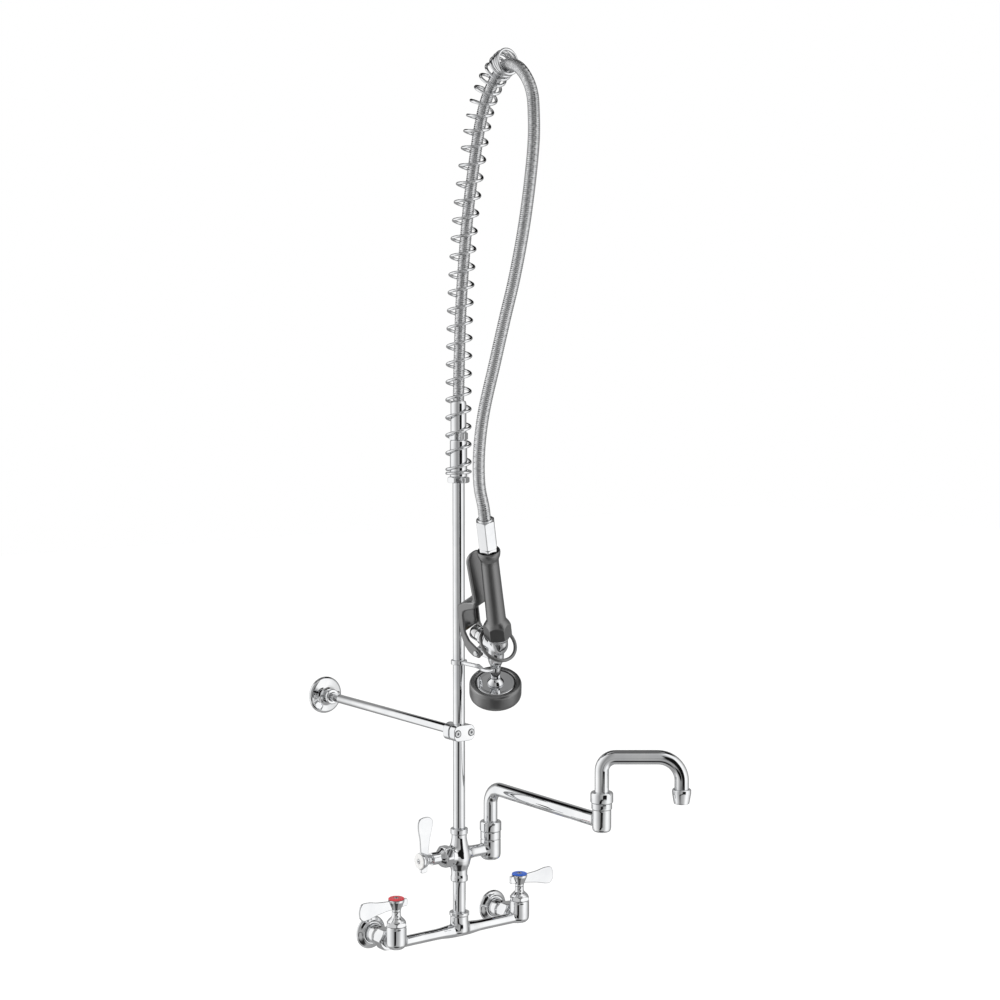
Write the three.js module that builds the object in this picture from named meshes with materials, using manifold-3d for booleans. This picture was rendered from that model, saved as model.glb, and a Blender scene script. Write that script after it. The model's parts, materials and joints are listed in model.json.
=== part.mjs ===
// Wall-mounted pre-rinse faucet. Millimetres, +Z up, +X towards the cold valve, +Y into the wall.
// Everything is drawn around the riser's axis, with z = 0 on the inlets' centre line.
// The last step moves it all forward, so that y = 0 is the plane behind the inlet flanges.

import * as THREE from 'three';
import Module from 'manifold-3d';

const wasm = await Module();
wasm.setup();

const { PI, cos, sin } = Math;
const DEG = PI / 180;
const GAP = 0.3;                    // clearance left between any two pieces that touch

// ---- driving dimensions ----
const VALVE_X = 101.6;              // half of the 8-inch inlet centres
const INLET_REACH = 64;             // riser axis to the plane behind the inlet flanges
const TOWER_R = 13.4;
const TOWER_TOP = 23.3;
const BAR_R = 7.2;
const BOSS_TOP = 25.1;
const INLET_ARM_R = 9.5;
const INLET_ARM_END = 30;
const INLET_BORE_R = 6;
const COUPLING_FLATS = 27;
const COUPLING_FROM = 17;
const COUPLING_TO = 38;
const SHANK_R = 12.5;
const INLET_FLANGE_R = 22.5;
const INLET_FLANGE_T = 6;
const STEM_R = 3;
const BONNET_NECK_R = 5.9;
const BONNET_TOP = 42.8;
const HUB_BASE = 43.1;
const HUB_FACE = 60.4;
const HUB_R = 10.8;
const BLADE_LENGTH = 58.5;
const BLADE_T = 2.6;
const NIPPLE_R = 8.6;
const TEE_BASE = 67;
const TEE_AXIS = 104;
const TEE_TOP = 139.4;
const ADDON_HUB_FACE = 65.4;        // riser axis to the face of the add-on lever's hub
const SPOUT_X = 52.3;
const SOCKET_R = 13.8;
const SOCKET_BASE = 89;
const SOCKET_TOP = 128;
const SPOUT_R = 9.3;
const SPOUT_BORE_R = 7.6;
const SPOUT_BEND = 22;
const ARM_Z = 188.3;
const ARM_LENGTH = 237;
const END_SOCKET_R = 12;
const END_SPOUT_R = 9;
const END_BENDS = [17, 30];         // the bend over the swivel and the wider one over the outlet
const END_RUN_Z = 270;
const END_REACH = 100.5;
const END_HEADING = -36.5 * DEG;    // where the short spout section points, from +X
const AERATOR_TOP = 229.6;
const AERATOR_BASE = 211;
const RISER_R = 8;
const RISER_TOP = 624;
const CLAMP_Z = 270.5;
const CLAMP_HALF_X = 17;
const CLAMP_SCREW_X = 10.9;
const ROD_R = 6.35;
const BRACKET_REACH = 345;          // riser axis to the bracket's wall face
const BRACKET_FLANGE_R = 27;
const BRACKET_SCREW_X = 18.5;
const HOOK_Z = 364.8;
const HOOK_WIRE_R = 2.8;
const HOOK_REACH = 10.9;            // how far to the side the finger passes the neck
const TOP_NUT_Z = 604.7;
const ADAPTER_Z = 612.9;
const ADAPTER_R = 11.4;
const FERRULE_Z = 661.7;
const FERRULE_TOP = 713;
const SPRING_R = 15.6;
const SPRING_WIRE_R = 1.95;
const HOSE_R = 7.6;

// ---- the hose and spring routes, as [x, y, z] on the riser's axis ----
const HOSE_ROUTE = [
  [0, 0, FERRULE_TOP + GAP], [0, -2, 765], [0, -6, 835], [0, -14, 905], [0, -25, 973], [0, -38, 1028],
  [0, -48, 1065], [0, -62, 1098], [0, -83, 1124], [0, -106, 1138.5], [0, -129, 1134], [-2, -151, 1117],
  [-5, -166, 1096], [-8, -173, 1070], [-11, -177, 1040], [-18, -179, 990], [-28, -178.5, 928],
  [-39.5, -174, 865], [-48.5, -169, 822], [-61, -164.5, 766], [-74, -157.5, 700], [-79.5, -156, 651],
  [-80, -158, 612], [-76, -160.3, 588],
];
const SPRING_ROUTE = [
  [0, 0, 613.6], [0, 0, 700], [0, -1.5, 765], [0, -4.5, 835], [0, -10.5, 905], [0, -20.5, 973],
  [0, -33.5, 1028], [0, -43.5, 1066], [0, -58, 1101], [0, -80, 1127.5], [0, -104, 1141.5],
  [0, -113, 1142.5],
];

// ---- the spray valve's own frame: x across, y towards its lever, z up its handle ----
const VALVE_ORIGIN = new THREE.Vector3(-12.4, -106.2, 407.3);
const VALVE_LEVER_SIDE = new THREE.Vector3(-0.235, 0.95, 0.206).normalize();
const VALVE_UP = new THREE.Vector3(-0.321, -0.276, 0.906).normalize();
const HEAD_TILT = 7.6 * DEG;        // the spray head leans this far off the handle
const HEAD_Y = 11.9;                // middle of the neck, in the valve's frame
const HEAD_Z = -51.5;
const BONNET_TILT = 11.5 * DEG;
const BONNET_DROP = 7.8;            // the push stem runs this far below the handle's seat
const NECK_R = 6.7;
const PLATE_R = 25.7;
const BUMPER_R = 34.3;
const GRIP_TOP = 136;
const HEX_BASE_FLATS = 31.5;
const FERRULE_FLATS = 22;
const HANDLE_END = 182;
const PIVOT_Y = 27.5;
const PIVOT_Z = -20.5;
const LEVER_HALF = 16.2;
const LEVER_INNER = 13;
const RING_R = 24.2;
const RING_WIRE_R = 2.3;
const RING_MIDDLE = new THREE.Vector3(-11.4, -103.3, 403.3);
const RING_NORMAL = new THREE.Vector3(-0.111, -0.811, 0.574).normalize();

// ---- materials ----
const FINISHES = {
  chrome: [0xd6d9dc, 0.12, 1],
  brass: [0xc2a35c, 0.35, 1],
  steel: [0xb9bcc0, 0.28, 1],
  hose_steel: [0xaeb2b6, 0.3, 0.9],
  grey_rubber: [0x4a4b4d, 0.6, 0],
  red: [0xcf3f45, 0.4, 0],
  blue: [0x2f63cc, 0.4, 0],
  plastic: [0xe8e8e6, 0.45, 0],
};

const parts = new THREE.Group();
parts.name = 'pre_rinse_faucet';

function add(name, finish, geometry) {
  const [color, roughness, metalness] = FINISHES[finish];
  const material = new THREE.MeshStandardMaterial({ color, roughness, metalness });
  const mesh = new THREE.Mesh(geometry, material);
  mesh.name = name;
  parts.add(mesh);
}

// ---- solids ----
function weld(geometry) {
  const bare = new THREE.BufferGeometry();
  const source = geometry.index ? geometry.toNonIndexed() : geometry;
  const keys = new Map();
  const points = [];
  const triangles = [];
  const position = source.getAttribute('position');
  for (let i = 0; i < position.count; i += 1) {
    const p = [position.getX(i), position.getY(i), position.getZ(i)];
    const key = p.map((v) => Math.round(v * 1e4)).join(',');
    if (!keys.has(key)) {
      keys.set(key, points.length / 3);
      points.push(...p);
    }
    triangles.push(keys.get(key));
  }
  const kept = [];
  for (let i = 0; i < triangles.length; i += 3) {
    const [a, b, c] = triangles.slice(i, i + 3);
    if (a !== b && b !== c && a !== c) kept.push(a, b, c);
  }
  bare.setAttribute('position', new THREE.Float32BufferAttribute(points, 3));
  bare.setIndex(kept);
  return bare;
}

function toSolid(geometry) {
  const welded = weld(geometry);
  return new wasm.Manifold(new wasm.Mesh({
    numProp: 3,
    vertProperties: new Float32Array(welded.getAttribute('position').array),
    triVerts: new Uint32Array(welded.index.array),
  }));
}

function toGeometry(solid) {
  const mesh = solid.simplify(0.03).getMesh();
  const geometry = new THREE.BufferGeometry();
  geometry.setAttribute('position', new THREE.Float32BufferAttribute(mesh.vertProperties, 3));
  geometry.setIndex(Array.from(mesh.triVerts));
  return geometry;
}

function join(...pieces) {
  return toGeometry(pieces.map(toSolid).reduce((whole, piece) => whole.add(piece)));
}

function cut(base, ...tools) {
  return toGeometry(tools.map(toSolid).reduce((whole, tool) => whole.subtract(tool), toSolid(base)));
}

function common(a, b) {
  return toGeometry(toSolid(a).intersect(toSolid(b)));
}

// A solid of revolution about Z from [radius, z] corners.
function turned(profile, segments = 14) {
  const corners = profile.map(([radius, z]) => new THREE.Vector2(radius, z));
  const [first] = corners;
  const last = corners[corners.length - 1];
  if (first.x > 0 || last.x > 0) corners.push(first.clone());
  const geometry = weld(new THREE.LatheGeometry(corners, segments));
  geometry.rotateX(PI / 2);
  return facingOut(geometry);
}

// Turns a closed mesh the right way out.
function facingOut(geometry) {
  const position = geometry.getAttribute('position');
  const index = geometry.index.array;
  const [a, b, c] = [new THREE.Vector3(), new THREE.Vector3(), new THREE.Vector3()];
  let volume = 0;
  for (let i = 0; i < index.length; i += 3) {
    a.fromBufferAttribute(position, index[i]);
    b.fromBufferAttribute(position, index[i + 1]);
    c.fromBufferAttribute(position, index[i + 2]);
    volume += a.dot(b.cross(c));
  }
  if (volume < 0) geometry.setIndex(Array.from(index).reverse());
  return geometry;
}

function pipe(radius, z0, z1, segments = 14) {
  return turned([[0, z0], [radius, z0], [radius, z1], [0, z1]], segments);
}

function hexagon(acrossFlats, z0, z1, turn = 0) {
  const prism = pipe(acrossFlats / 2 / cos(PI / 6), z0, z1, 6);
  return prism.rotateZ(turn);
}

// Aims a solid drawn along +Z down another axis.
const alongX = (geometry) => geometry.rotateY(PI / 2);
const alongY = (geometry) => geometry.rotateX(-PI / 2);

// A plate with the given outline in its own x, z and a thickness centred on y = 0.
function plate(outline, thickness) {
  const shape = new THREE.Shape(outline.map(([x, z]) => new THREE.Vector2(x, z)));
  const geometry = weld(new THREE.ExtrudeGeometry(shape, { depth: thickness, bevelEnabled: false }));
  geometry.translate(0, 0, -thickness / 2);
  geometry.rotateX(PI / 2);
  return facingOut(geometry);
}

function circle(radius, sides) {
  const shape = new THREE.Shape();
  for (let i = 0; i < sides; i += 1) {
    const angle = (i / sides) * 2 * PI;
    if (i === 0) shape.moveTo(radius, 0);
    else shape.lineTo(radius * cos(angle), radius * sin(angle));
  }
  shape.closePath();
  return shape;
}

function swept(curve, radius, steps, sides) {
  const geometry = new THREE.ExtrudeGeometry(circle(radius, sides), {
    steps, extrudePath: curve, bevelEnabled: false, curveSegments: 1,
  });
  return facingOut(weld(geometry));
}

// Straight runs between corners, with every inner corner rounded: one radius each, or one for all.
class RoundedRun extends THREE.Curve {
  constructor(corners, bends) {
    super();
    this.pieces = [];
    let from = corners[0];
    for (let i = 1; i < corners.length - 1; i += 1) {
      const back = corners[i - 1].clone().sub(corners[i]).normalize();
      const on = corners[i + 1].clone().sub(corners[i]).normalize();
      const half = back.angleTo(on) / 2;
      const bend = bends[Math.min(i, bends.length) - 1];
      const trim = bend / Math.tan(half);
      const start = corners[i].clone().addScaledVector(back, trim);
      const end = corners[i].clone().addScaledVector(on, trim);
      const middle = back.clone().add(on).normalize().multiplyScalar(bend / sin(half)).add(corners[i]);
      this.pieces.push({ from, to: start });
      this.pieces.push({ from: start, to: end, middle });
      from = end;
    }
    this.pieces.push({ from, to: corners[corners.length - 1] });
    this.knots = [];
    for (const piece of this.pieces) {
      if (piece.middle) {
        for (let i = 0; i <= 5; i += 1) this.knots.push(this.onArc(piece, i / 5));
      } else {
        this.knots.push(piece.from.clone(), piece.to.clone());
      }
    }
    this.knots = this.knots.filter((knot, i) => i === 0 || knot.distanceTo(this.knots[i - 1]) > 0.5);
  }

  onArc(piece, t) {
    const a = piece.from.clone().sub(piece.middle);
    const b = piece.to.clone().sub(piece.middle);
    const angle = a.angleTo(b);
    return a.multiplyScalar(sin((1 - t) * angle) / sin(angle))
      .addScaledVector(b, sin(t * angle) / sin(angle)).add(piece.middle);
  }

  getPoint(t, target = new THREE.Vector3()) {
    const at = Math.min(t * (this.knots.length - 1), this.knots.length - 1 - 1e-9);
    const i = Math.floor(at);
    return target.lerpVectors(this.knots[i], this.knots[i + 1], at - i);
  }

  getPointAt(t, target) {
    return this.getPoint(t, target);
  }

  getTangentAt(t, target = new THREE.Vector3()) {
    const n = this.knots.length - 1;
    const i = Math.min(Math.max(Math.round(t * n), 0), n);
    const before = this.knots[Math.max(i - 1, 0)];
    const after = this.knots[Math.min(i + 1, n)];
    return target.subVectors(after, before).normalize();
  }
}

function bentPipe(corners, bends, radius, sides = 14) {
  const run = new RoundedRun(corners.map((c) => new THREE.Vector3(...c)), bends);
  return swept(run, radius, run.knots.length - 1, sides);
}

const smooth = (route) => new THREE.CatmullRomCurve3(
  route.map((point) => new THREE.Vector3(...point)), false, 'centripetal',
);

// ---- mixing body and its inlets ----
function mixingBody() {
  const tower = [[0, -7.6], [8, -7.2], [11.6, -5], [13.2, -1], [TOWER_R, 3], [TOWER_R, TOWER_TOP],
    [0, TOWER_TOP]];
  const boss = [[0, -6.8], [8, -6.4], [12, -4], [TOWER_R, 1], [12.2, 12], [12.2, 20], [TOWER_R, 20.6],
    [TOWER_R, BOSS_TOP], [0, BOSS_TOP]];
  let body = alongX(turned([[0, -VALVE_X], [7.6, -VALVE_X], [BAR_R, -80], [BAR_R, -30],
    [9, -16], [9, 16], [BAR_R, 30], [BAR_R, 80], [7.6, VALVE_X],
    [0, VALVE_X]]));
  body = join(body, turned(boss, 14));
  let tools = [pipe(NIPPLE_R + GAP, 12, 30), pipe(5, -2, 14, 10), alongX(pipe(4.5, -VALVE_X, VALVE_X, 12))];
  for (const side of [-1, 1]) {
    const x = side * VALVE_X;
    const arm = alongY(pipe(INLET_ARM_R, 0, INLET_ARM_END, 14)).translate(x, 0, 0);
    body = join(body, turned(tower, 14).translate(x, 0, 0), arm);
    tools.push(pipe(9.6, 6, 30, 14).translate(x, 0, 0));
    tools.push(alongY(pipe(INLET_BORE_R, 0, INLET_ARM_END + 1, 12)).translate(x, 0, 0));
  }
  add('mixing_body', 'chrome', cut(body, ...tools));
}

function inlet(side, name) {
  const x = side * VALVE_X;
  const place = (geometry) => alongY(geometry).translate(x, 0, 0);
  const nut = cut(
    join(hexagon(COUPLING_FLATS, COUPLING_FROM, COUPLING_TO - 4, PI / 6),
      turned([[0, COUPLING_TO - 5], [13, COUPLING_TO - 5], [13, COUPLING_TO - 2], [11, COUPLING_TO],
        [0, COUPLING_TO]])),
    pipe(INLET_ARM_R + GAP, COUPLING_FROM - 1, 33.3, 14),
    pipe(8.4, 30, COUPLING_TO + 1, 14),
  );
  add(`${name}_coupling_nut`, 'chrome', place(nut));
  const shank = [[INLET_BORE_R, 30.4], [9.4, 30.4], [9.4, 32.9], [8, 32.9], [8, 38.6], [10.5, 39.5],
    [SHANK_R, 42], [SHANK_R, INLET_REACH], [INLET_BORE_R, INLET_REACH]];
  add(`${name}_inlet_shank`, 'chrome', place(turned(shank)));
  const bore = SHANK_R + GAP;
  const front = INLET_REACH - INLET_FLANGE_T;
  const flange = [[bore, front - 2], [15, front - 2], [16.5, front], [21, front + 2.2],
    [INLET_FLANGE_R, front + 4.4],
    [INLET_FLANGE_R, INLET_REACH], [bore, INLET_REACH]];
  add(`${name}_inlet_flange`, 'chrome', place(turned(flange, 18)));
}

// ---- valves: drawn with the stem up +Z from the hub's seat, blade towards +X ----
function leverBlade() {
  const rise = 2.6;
  const drop = 22.5;
  const top = HUB_FACE;
  const outline = [[5, top - 14.5], [12, top - 14.6], [30, top - 17.5],
    [BLADE_LENGTH - 14, top - drop + 1.5],
    [BLADE_LENGTH - 8, top - drop], [BLADE_LENGTH - 3, top - drop + 3.5], [BLADE_LENGTH, top - 13],
    [BLADE_LENGTH - 0.6, top - 5], [BLADE_LENGTH - 3, top], [BLADE_LENGTH - 8, top + rise],
    [BLADE_LENGTH - 16, top + rise - 0.6], [30, top - 0.8], [12, top - 2], [5, top - 2.4]];
  return plate(outline, BLADE_T);
}

function leverSolid() {
  const hub = turned([[0, HUB_BASE], [BONNET_NECK_R, HUB_BASE], [BONNET_NECK_R + 0.3, HUB_BASE + 3],
    [HUB_R, HUB_FACE - 4.2], [HUB_R, HUB_FACE - 1.8], [HUB_R - 0.6, HUB_FACE - 1.2],
      [0, HUB_FACE - 1.2]], 14);
  const stub = plate([[-4, HUB_FACE - 12.6], [-15.6, HUB_FACE - 12], [-16.8, HUB_FACE - 10.6],
    [-16.8, HUB_FACE - 3.6],
    [-15.8, HUB_FACE - 2.2], [-4, HUB_FACE - 2]], 4.4);
  return cut(
    join(hub, leverBlade(), stub),
    pipe(2.1, HUB_BASE + 2, HUB_FACE, 12),
    pipe(STEM_R + GAP, HUB_BASE - 1, 52.3, 10),
  );
}

const indexRing = () => turned([[3.5, HUB_FACE - 0.9], [10.5, HUB_FACE - 0.9], [10.5, HUB_FACE + 0.2],
  [9.8, HUB_FACE + 0.9], [3.5, HUB_FACE + 0.9]], 14);

const leverScrew = () => turned([[0, 52.6], [1.8, 52.6], [1.8, HUB_FACE - 0.9], [3.2, HUB_FACE - 0.9],
  [3.2, HUB_FACE + 0.9], [2.7, HUB_FACE + 1.3], [0, HUB_FACE + 1.3]], 10);

function bonnetNut() {
  const dome = turned([[0, 27], [12.2, 27], [11.6, 30.5], [9, 33.4], [BONNET_NECK_R + 0.6, 36],
    [BONNET_NECK_R, 37], [BONNET_NECK_R, BONNET_TOP], [0, BONNET_TOP]]);
  return cut(join(hexagon(25, TOWER_TOP + GAP, 29), dome), pipe(STEM_R + GAP, 20, 50, 10));
}

const valveStem = () => turned([[0, 6.4], [9.2, 6.4], [9.2, 19], [STEM_R, 19], [STEM_R, 52], [0, 52]], 12);

function deckValve(side, name, colour) {
  const place = (geometry) => (side < 0 ? geometry.rotateZ(PI) : geometry).translate(side * VALVE_X, 0, 0);
  add(`${name}_bonnet_nut`, 'chrome', place(bonnetNut()));
  add(`${name}_valve_stem`, 'brass', place(valveStem()));
  add(`${name}_lever`, 'chrome', place(leverSolid()));
  add(`${name}_index_ring`, colour, place(indexRing()));
  add(`${name}_lever_screw`, 'steel', place(leverScrew()));
}

// ---- add-on faucet tee ----
function addonBody() {
  const trunk = turned([[0, TEE_BASE], [11.6, TEE_BASE], [11.6, 74], [10.6, 75], [11, 83],
    [14.5, 91], [16, 99],
    [15, 108], [11.5, 119], [10.2, 126], [10.2, 131.4], [11.7, 132], [11.7, TEE_TOP], [0, TEE_TOP]], 14);
  const socket = turned([[0, SOCKET_BASE], [9, SOCKET_BASE], [12.4, SOCKET_BASE + 2.4],
    [SOCKET_R, SOCKET_BASE + 6],
    [SOCKET_R, 116.4], [SOCKET_R - 0.7, 117], [SOCKET_R, 117.6], [SOCKET_R, SOCKET_TOP],
      [0, SOCKET_TOP]], 14);
  const arm = alongX(turned([[0, 0], [12, 0], [10.5, 12], [8.4, 18], [8.1, 24], [8.1, 36], [9, 42],
    [9, SPOUT_X],
    [0, SPOUT_X]], 14)).translate(0, 0, TEE_AXIS);
  const barrel = alongX(pipe(12.6, -17, 0, 14)).translate(0, 0, TEE_AXIS);
  const body = join(trunk, socket.translate(SPOUT_X, 0, 0), arm, barrel);
  add('addon_body', 'chrome', cut(
    body,
    pipe(NIPPLE_R + GAP, TEE_BASE - 1, 79.3, 14),
    pipe(RISER_R + GAP, 126.7, TEE_TOP + 1, 14),
    pipe(5.5, 78, 128, 10),
    alongX(pipe(5, -8, SPOUT_X, 10)).translate(0, 0, TEE_AXIS),
    alongX(pipe(9.6, -18, -6, 14)).translate(0, 0, TEE_AXIS),
    pipe(SPOUT_R + GAP, 98, SOCKET_TOP + 1, 14).translate(SPOUT_X, 0, 0),
  ));
}

function addonValve() {
  // The same lever, stem and screw as the deck valves, laid over so the hub faces -X and the blade
  // points up.
  const place = (geometry) => geometry.rotateY(-PI / 2).translate(HUB_FACE - ADDON_HUB_FACE, 0, TEE_AXIS);
  const seat = 17 + GAP - (ADDON_HUB_FACE - HUB_FACE);
  const nut = cut(
    join(hexagon(27, seat, seat + 11), hexagon(15, seat + 10, 41.4),
      turned([[0, seat + 9], [12.8, seat + 9], [12, seat + 13], [8, seat + 17], [BONNET_NECK_R, seat + 19],
        [BONNET_NECK_R, BONNET_TOP], [0, BONNET_TOP]])),
    pipe(STEM_R + GAP, seat - 1, 50, 10),
  );
  const stem = turned([[0, 2.6], [9.2, 2.6], [9.2, seat - GAP], [STEM_R, seat - GAP], [STEM_R, 52],
    [0, 52]], 12);
  add('addon_bonnet_nut', 'chrome', place(nut));
  add('addon_valve_stem', 'brass', place(stem));
  add('addon_lever', 'chrome', place(leverSolid()));
  add('addon_index_ring', 'plastic', place(indexRing()));
  add('addon_lever_screw', 'steel', place(leverScrew()));
}

// ---- double-jointed spout ----
function spout() {
  const seat = 98 + GAP;
  const nutTop = 141.9;
  add('spout_nut', 'chrome', cut(
    join(turned([[0, SOCKET_TOP + GAP], [14, SOCKET_TOP + GAP], [14.7, 129.4], [14.7, 140], [13.4, nutTop],
      [0, nutTop]], 12)),
    pipe(SPOUT_R + GAP, 120, 150, 14),
  ).translate(SPOUT_X, 0, 0));

  const run = [[SPOUT_X, 0, seat], [SPOUT_X, 0, ARM_Z], [SPOUT_X, -ARM_LENGTH, ARM_Z]];
  const bore = [[SPOUT_X, 0, seat - 2], [SPOUT_X, 0, ARM_Z], [SPOUT_X, -ARM_LENGTH, ARM_Z]];
  const cup = turned([[0, 174.6], [8, 174.6], [11, 176.4], [END_SOCKET_R, 180],
    [END_SOCKET_R, 203.6], [13, 204.4],
    [13, 211.6], [12.4, 212.2], [0, 212.2]], 14).translate(SPOUT_X, -ARM_LENGTH, 0);
  add('spout_arm', 'chrome', cut(
    join(bentPipe(run, [SPOUT_BEND], SPOUT_R, 14), cup),
    bentPipe(bore, [SPOUT_BEND], SPOUT_BORE_R, 10),
    pipe(END_SPOUT_R + GAP, 191, 214, 14).translate(SPOUT_X, -ARM_LENGTH, 0),
  ));

  add('spout_end_nut', 'chrome', cut(
    turned([[0, 212.5], [13.8, 212.5], [14.4, 213.4], [14.4, 224], [13.2, 226], [0, 226]], 12),
    pipe(END_SPOUT_R + GAP, 200, 230, 14),
  ).translate(SPOUT_X, -ARM_LENGTH, 0));

  const outX = SPOUT_X + END_REACH * cos(END_HEADING);
  const outY = -ARM_LENGTH + END_REACH * sin(END_HEADING);
  const corners = [[SPOUT_X, -ARM_LENGTH, 191.4], [SPOUT_X, -ARM_LENGTH, END_RUN_Z],
    [outX, outY, END_RUN_Z],
    [outX, outY, 223.6]];
  const inner = [[SPOUT_X, -ARM_LENGTH, 190], [SPOUT_X, -ARM_LENGTH, END_RUN_Z], [outX, outY, END_RUN_Z],
    [outX, outY, 222]];
  add('spout_end', 'chrome', cut(bentPipe(corners, END_BENDS, END_SPOUT_R, 14),
    bentPipe(inner, END_BENDS, 7.2, 10)));

  const sleeveR = END_SPOUT_R + GAP;
  add('aerator_housing', 'chrome', turned([[sleeveR, 223], [7.4, 223], [7.4, 217.4], [8, 217.4],
    [8, AERATOR_BASE],
    [9.6, AERATOR_BASE], [12, 224], [12, AERATOR_TOP - 1.4], [11.2, AERATOR_TOP],
      [sleeveR, AERATOR_TOP]], 14)
    .translate(outX, outY, 0));
  let screen = pipe(7.7, 213.2, 215.2, 14);
  const holes = [pipe(1, 212, 217, 6)];
  for (let i = 0; i < 4; i += 1) {
    holes.push(pipe(1, 212, 217, 6).translate(4.4 * cos(i * PI / 2), 4.4 * sin(i * PI / 2), 0));
  }
  screen = cut(screen, ...holes);
  add('aerator_screen', 'steel', screen.translate(outX, outY, 0));
}

// ---- riser and the fittings on it ----
function riser() {
  const inner = 5.9;
  const z0 = 127.2;
  add('lower_nipple', 'chrome', turned([[inner, 12.4], [NIPPLE_R, 12.4], [NIPPLE_R, 79], [inner, 79]]));
  add('riser_pipe', 'chrome', turned([[inner, z0], [RISER_R, z0], [RISER_R, RISER_TOP],
    [inner, RISER_TOP]]));
  add('riser_top_nut', 'chrome', cut(hexagon(26, TOP_NUT_Z, ADAPTER_Z - GAP),
    pipe(RISER_R + GAP, 600, 620, 14)));
  const socket = RISER_R + GAP;
  add('hose_adapter', 'chrome', turned([[socket, ADAPTER_Z], [ADAPTER_R, ADAPTER_Z], [ADAPTER_R, 660.6],
    [ADAPTER_R - 0.8, FERRULE_Z - GAP], [5, FERRULE_Z - GAP], [5, RISER_TOP + 2],
      [socket, RISER_TOP + 2]]));
  const ferrule = join(
    hexagon(22.4, FERRULE_Z, 671.4),
    turned([[0, 670], [10.5, 670], [10.5, 709.6], [9.6, FERRULE_TOP], [0, FERRULE_TOP]]),
  );
  add('hose_ferrule_top', 'chrome', cut(ferrule, pipe(5, FERRULE_Z - 1, 700, 10)));
}

function wallBracket() {
  const jaw = (y0, y1) => plate([[-CLAMP_HALF_X, -5], [-CLAMP_HALF_X + 2.4, -9], [-CLAMP_SCREW_X, -10.8],
    [CLAMP_SCREW_X, -10.8], [CLAMP_HALF_X - 2.4, -9], [CLAMP_HALF_X, -5], [CLAMP_HALF_X, 5],
    [CLAMP_HALF_X - 2.4, 9], [CLAMP_SCREW_X, 10.8], [-CLAMP_SCREW_X, 10.8], [-CLAMP_HALF_X + 2.4, 9],
    [-CLAMP_HALF_X, 5]], y1 - y0).translate(0, (y0 + y1) / 2, CLAMP_Z);
  const saddle = pipe(RISER_R + GAP, CLAMP_Z - 20, CLAMP_Z + 20, 14);
  const screwHole = (x) => alongY(pipe(3.2, -20, 9.6, 12)).translate(x, 0, CLAMP_Z);
  const headHole = (x) => alongY(pipe(4.8, -20, -9.6, 10)).translate(x, 0, CLAMP_Z);
  add('bracket_clamp_front', 'chrome', cut(jaw(-13, -1), saddle, screwHole(-CLAMP_SCREW_X),
    screwHole(CLAMP_SCREW_X), headHole(-CLAMP_SCREW_X), headHole(CLAMP_SCREW_X)));
  const rear = join(jaw(1, 14), alongY(turned([[0, 12], [10.6, 12], [10.6, 21], [9.4, 22.4], [0, 22.4]]))
    .translate(0, 0, CLAMP_Z));
  add('bracket_clamp_rear', 'chrome', cut(rear, saddle, screwHole(-CLAMP_SCREW_X), screwHole(CLAMP_SCREW_X),
    alongY(pipe(ROD_R + GAP, 10.4, 30, 14)).translate(0, 0, CLAMP_Z)));
  for (const [x, name] of [[-CLAMP_SCREW_X, 'left'], [CLAMP_SCREW_X, 'right']]) {
    const screw = turned([[0, -11.4], [2.1, -11.4], [2.1, -13.6], [4.4, -13.6], [4.4, -9.9],
      [2.8, -9.9], [2.8, 9.2],
      [0, 9.2]], 10);
    add(`clamp_screw_${name}`, 'steel', alongY(screw).translate(x, 0, CLAMP_Z));
  }

  const back = BRACKET_REACH;
  add('bracket_rod', 'chrome', alongY(turned([[0, 10.8], [ROD_R, 10.8], [ROD_R, back - 0.8],
    [0, back - 0.8]], 14))
    .translate(0, 0, CLAMP_Z));
  const bore = ROD_R + GAP;
  const flange = alongY(turned([[bore, back - 24], [10.4, back - 24], [11.2, back - 22.6], [11.2, back - 8],
    [24.6, back - 5.6], [BRACKET_FLANGE_R, back - 3.4], [BRACKET_FLANGE_R, back], [bore, back]], 18));
  const screwHoles = [-1, 1].map((side) => alongY(pipe(2.6, back - 12, back + 2, 12))
    .translate(side * BRACKET_SCREW_X, 0, 0));
  add('bracket_flange', 'chrome', cut(flange, ...screwHoles).translate(0, 0, CLAMP_Z));
  for (const [side, name] of [[-1, 'left'], [1, 'right']]) {
    const screw = turned([[0, back - 10.5], [2.4, back - 10.2], [4.4, back - 7.8],
      [2.3, back - 7.8], [2.3, back],
      [0, back]], 10);
    add(`bracket_flange_screw_${name}`, 'steel',
      alongY(screw).translate(side * BRACKET_SCREW_X, 0, CLAMP_Z));
  }
}

function sprayHook() {
  const clip = turned([[RISER_R + GAP, -3], [10.8, -3], [10.8, 3], [RISER_R + GAP, 3]], 14);
  const stem = bentPipe([[0, -10, 0], [0, -46, 0]], [], HOOK_WIRE_R, 10);
  const finger = swept(smooth([[0, -43, 0], [-3.6, -54, 0], [-HOOK_REACH, -68, 0],
    [-HOOK_REACH - 0.5, -84, 0.4],
    [-HOOK_REACH - 2, -95, 3]]), HOOK_WIRE_R, 10, 10);
  add('spray_hook', 'chrome', join(clip, stem, finger).translate(0, 0, HOOK_Z));
}

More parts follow.
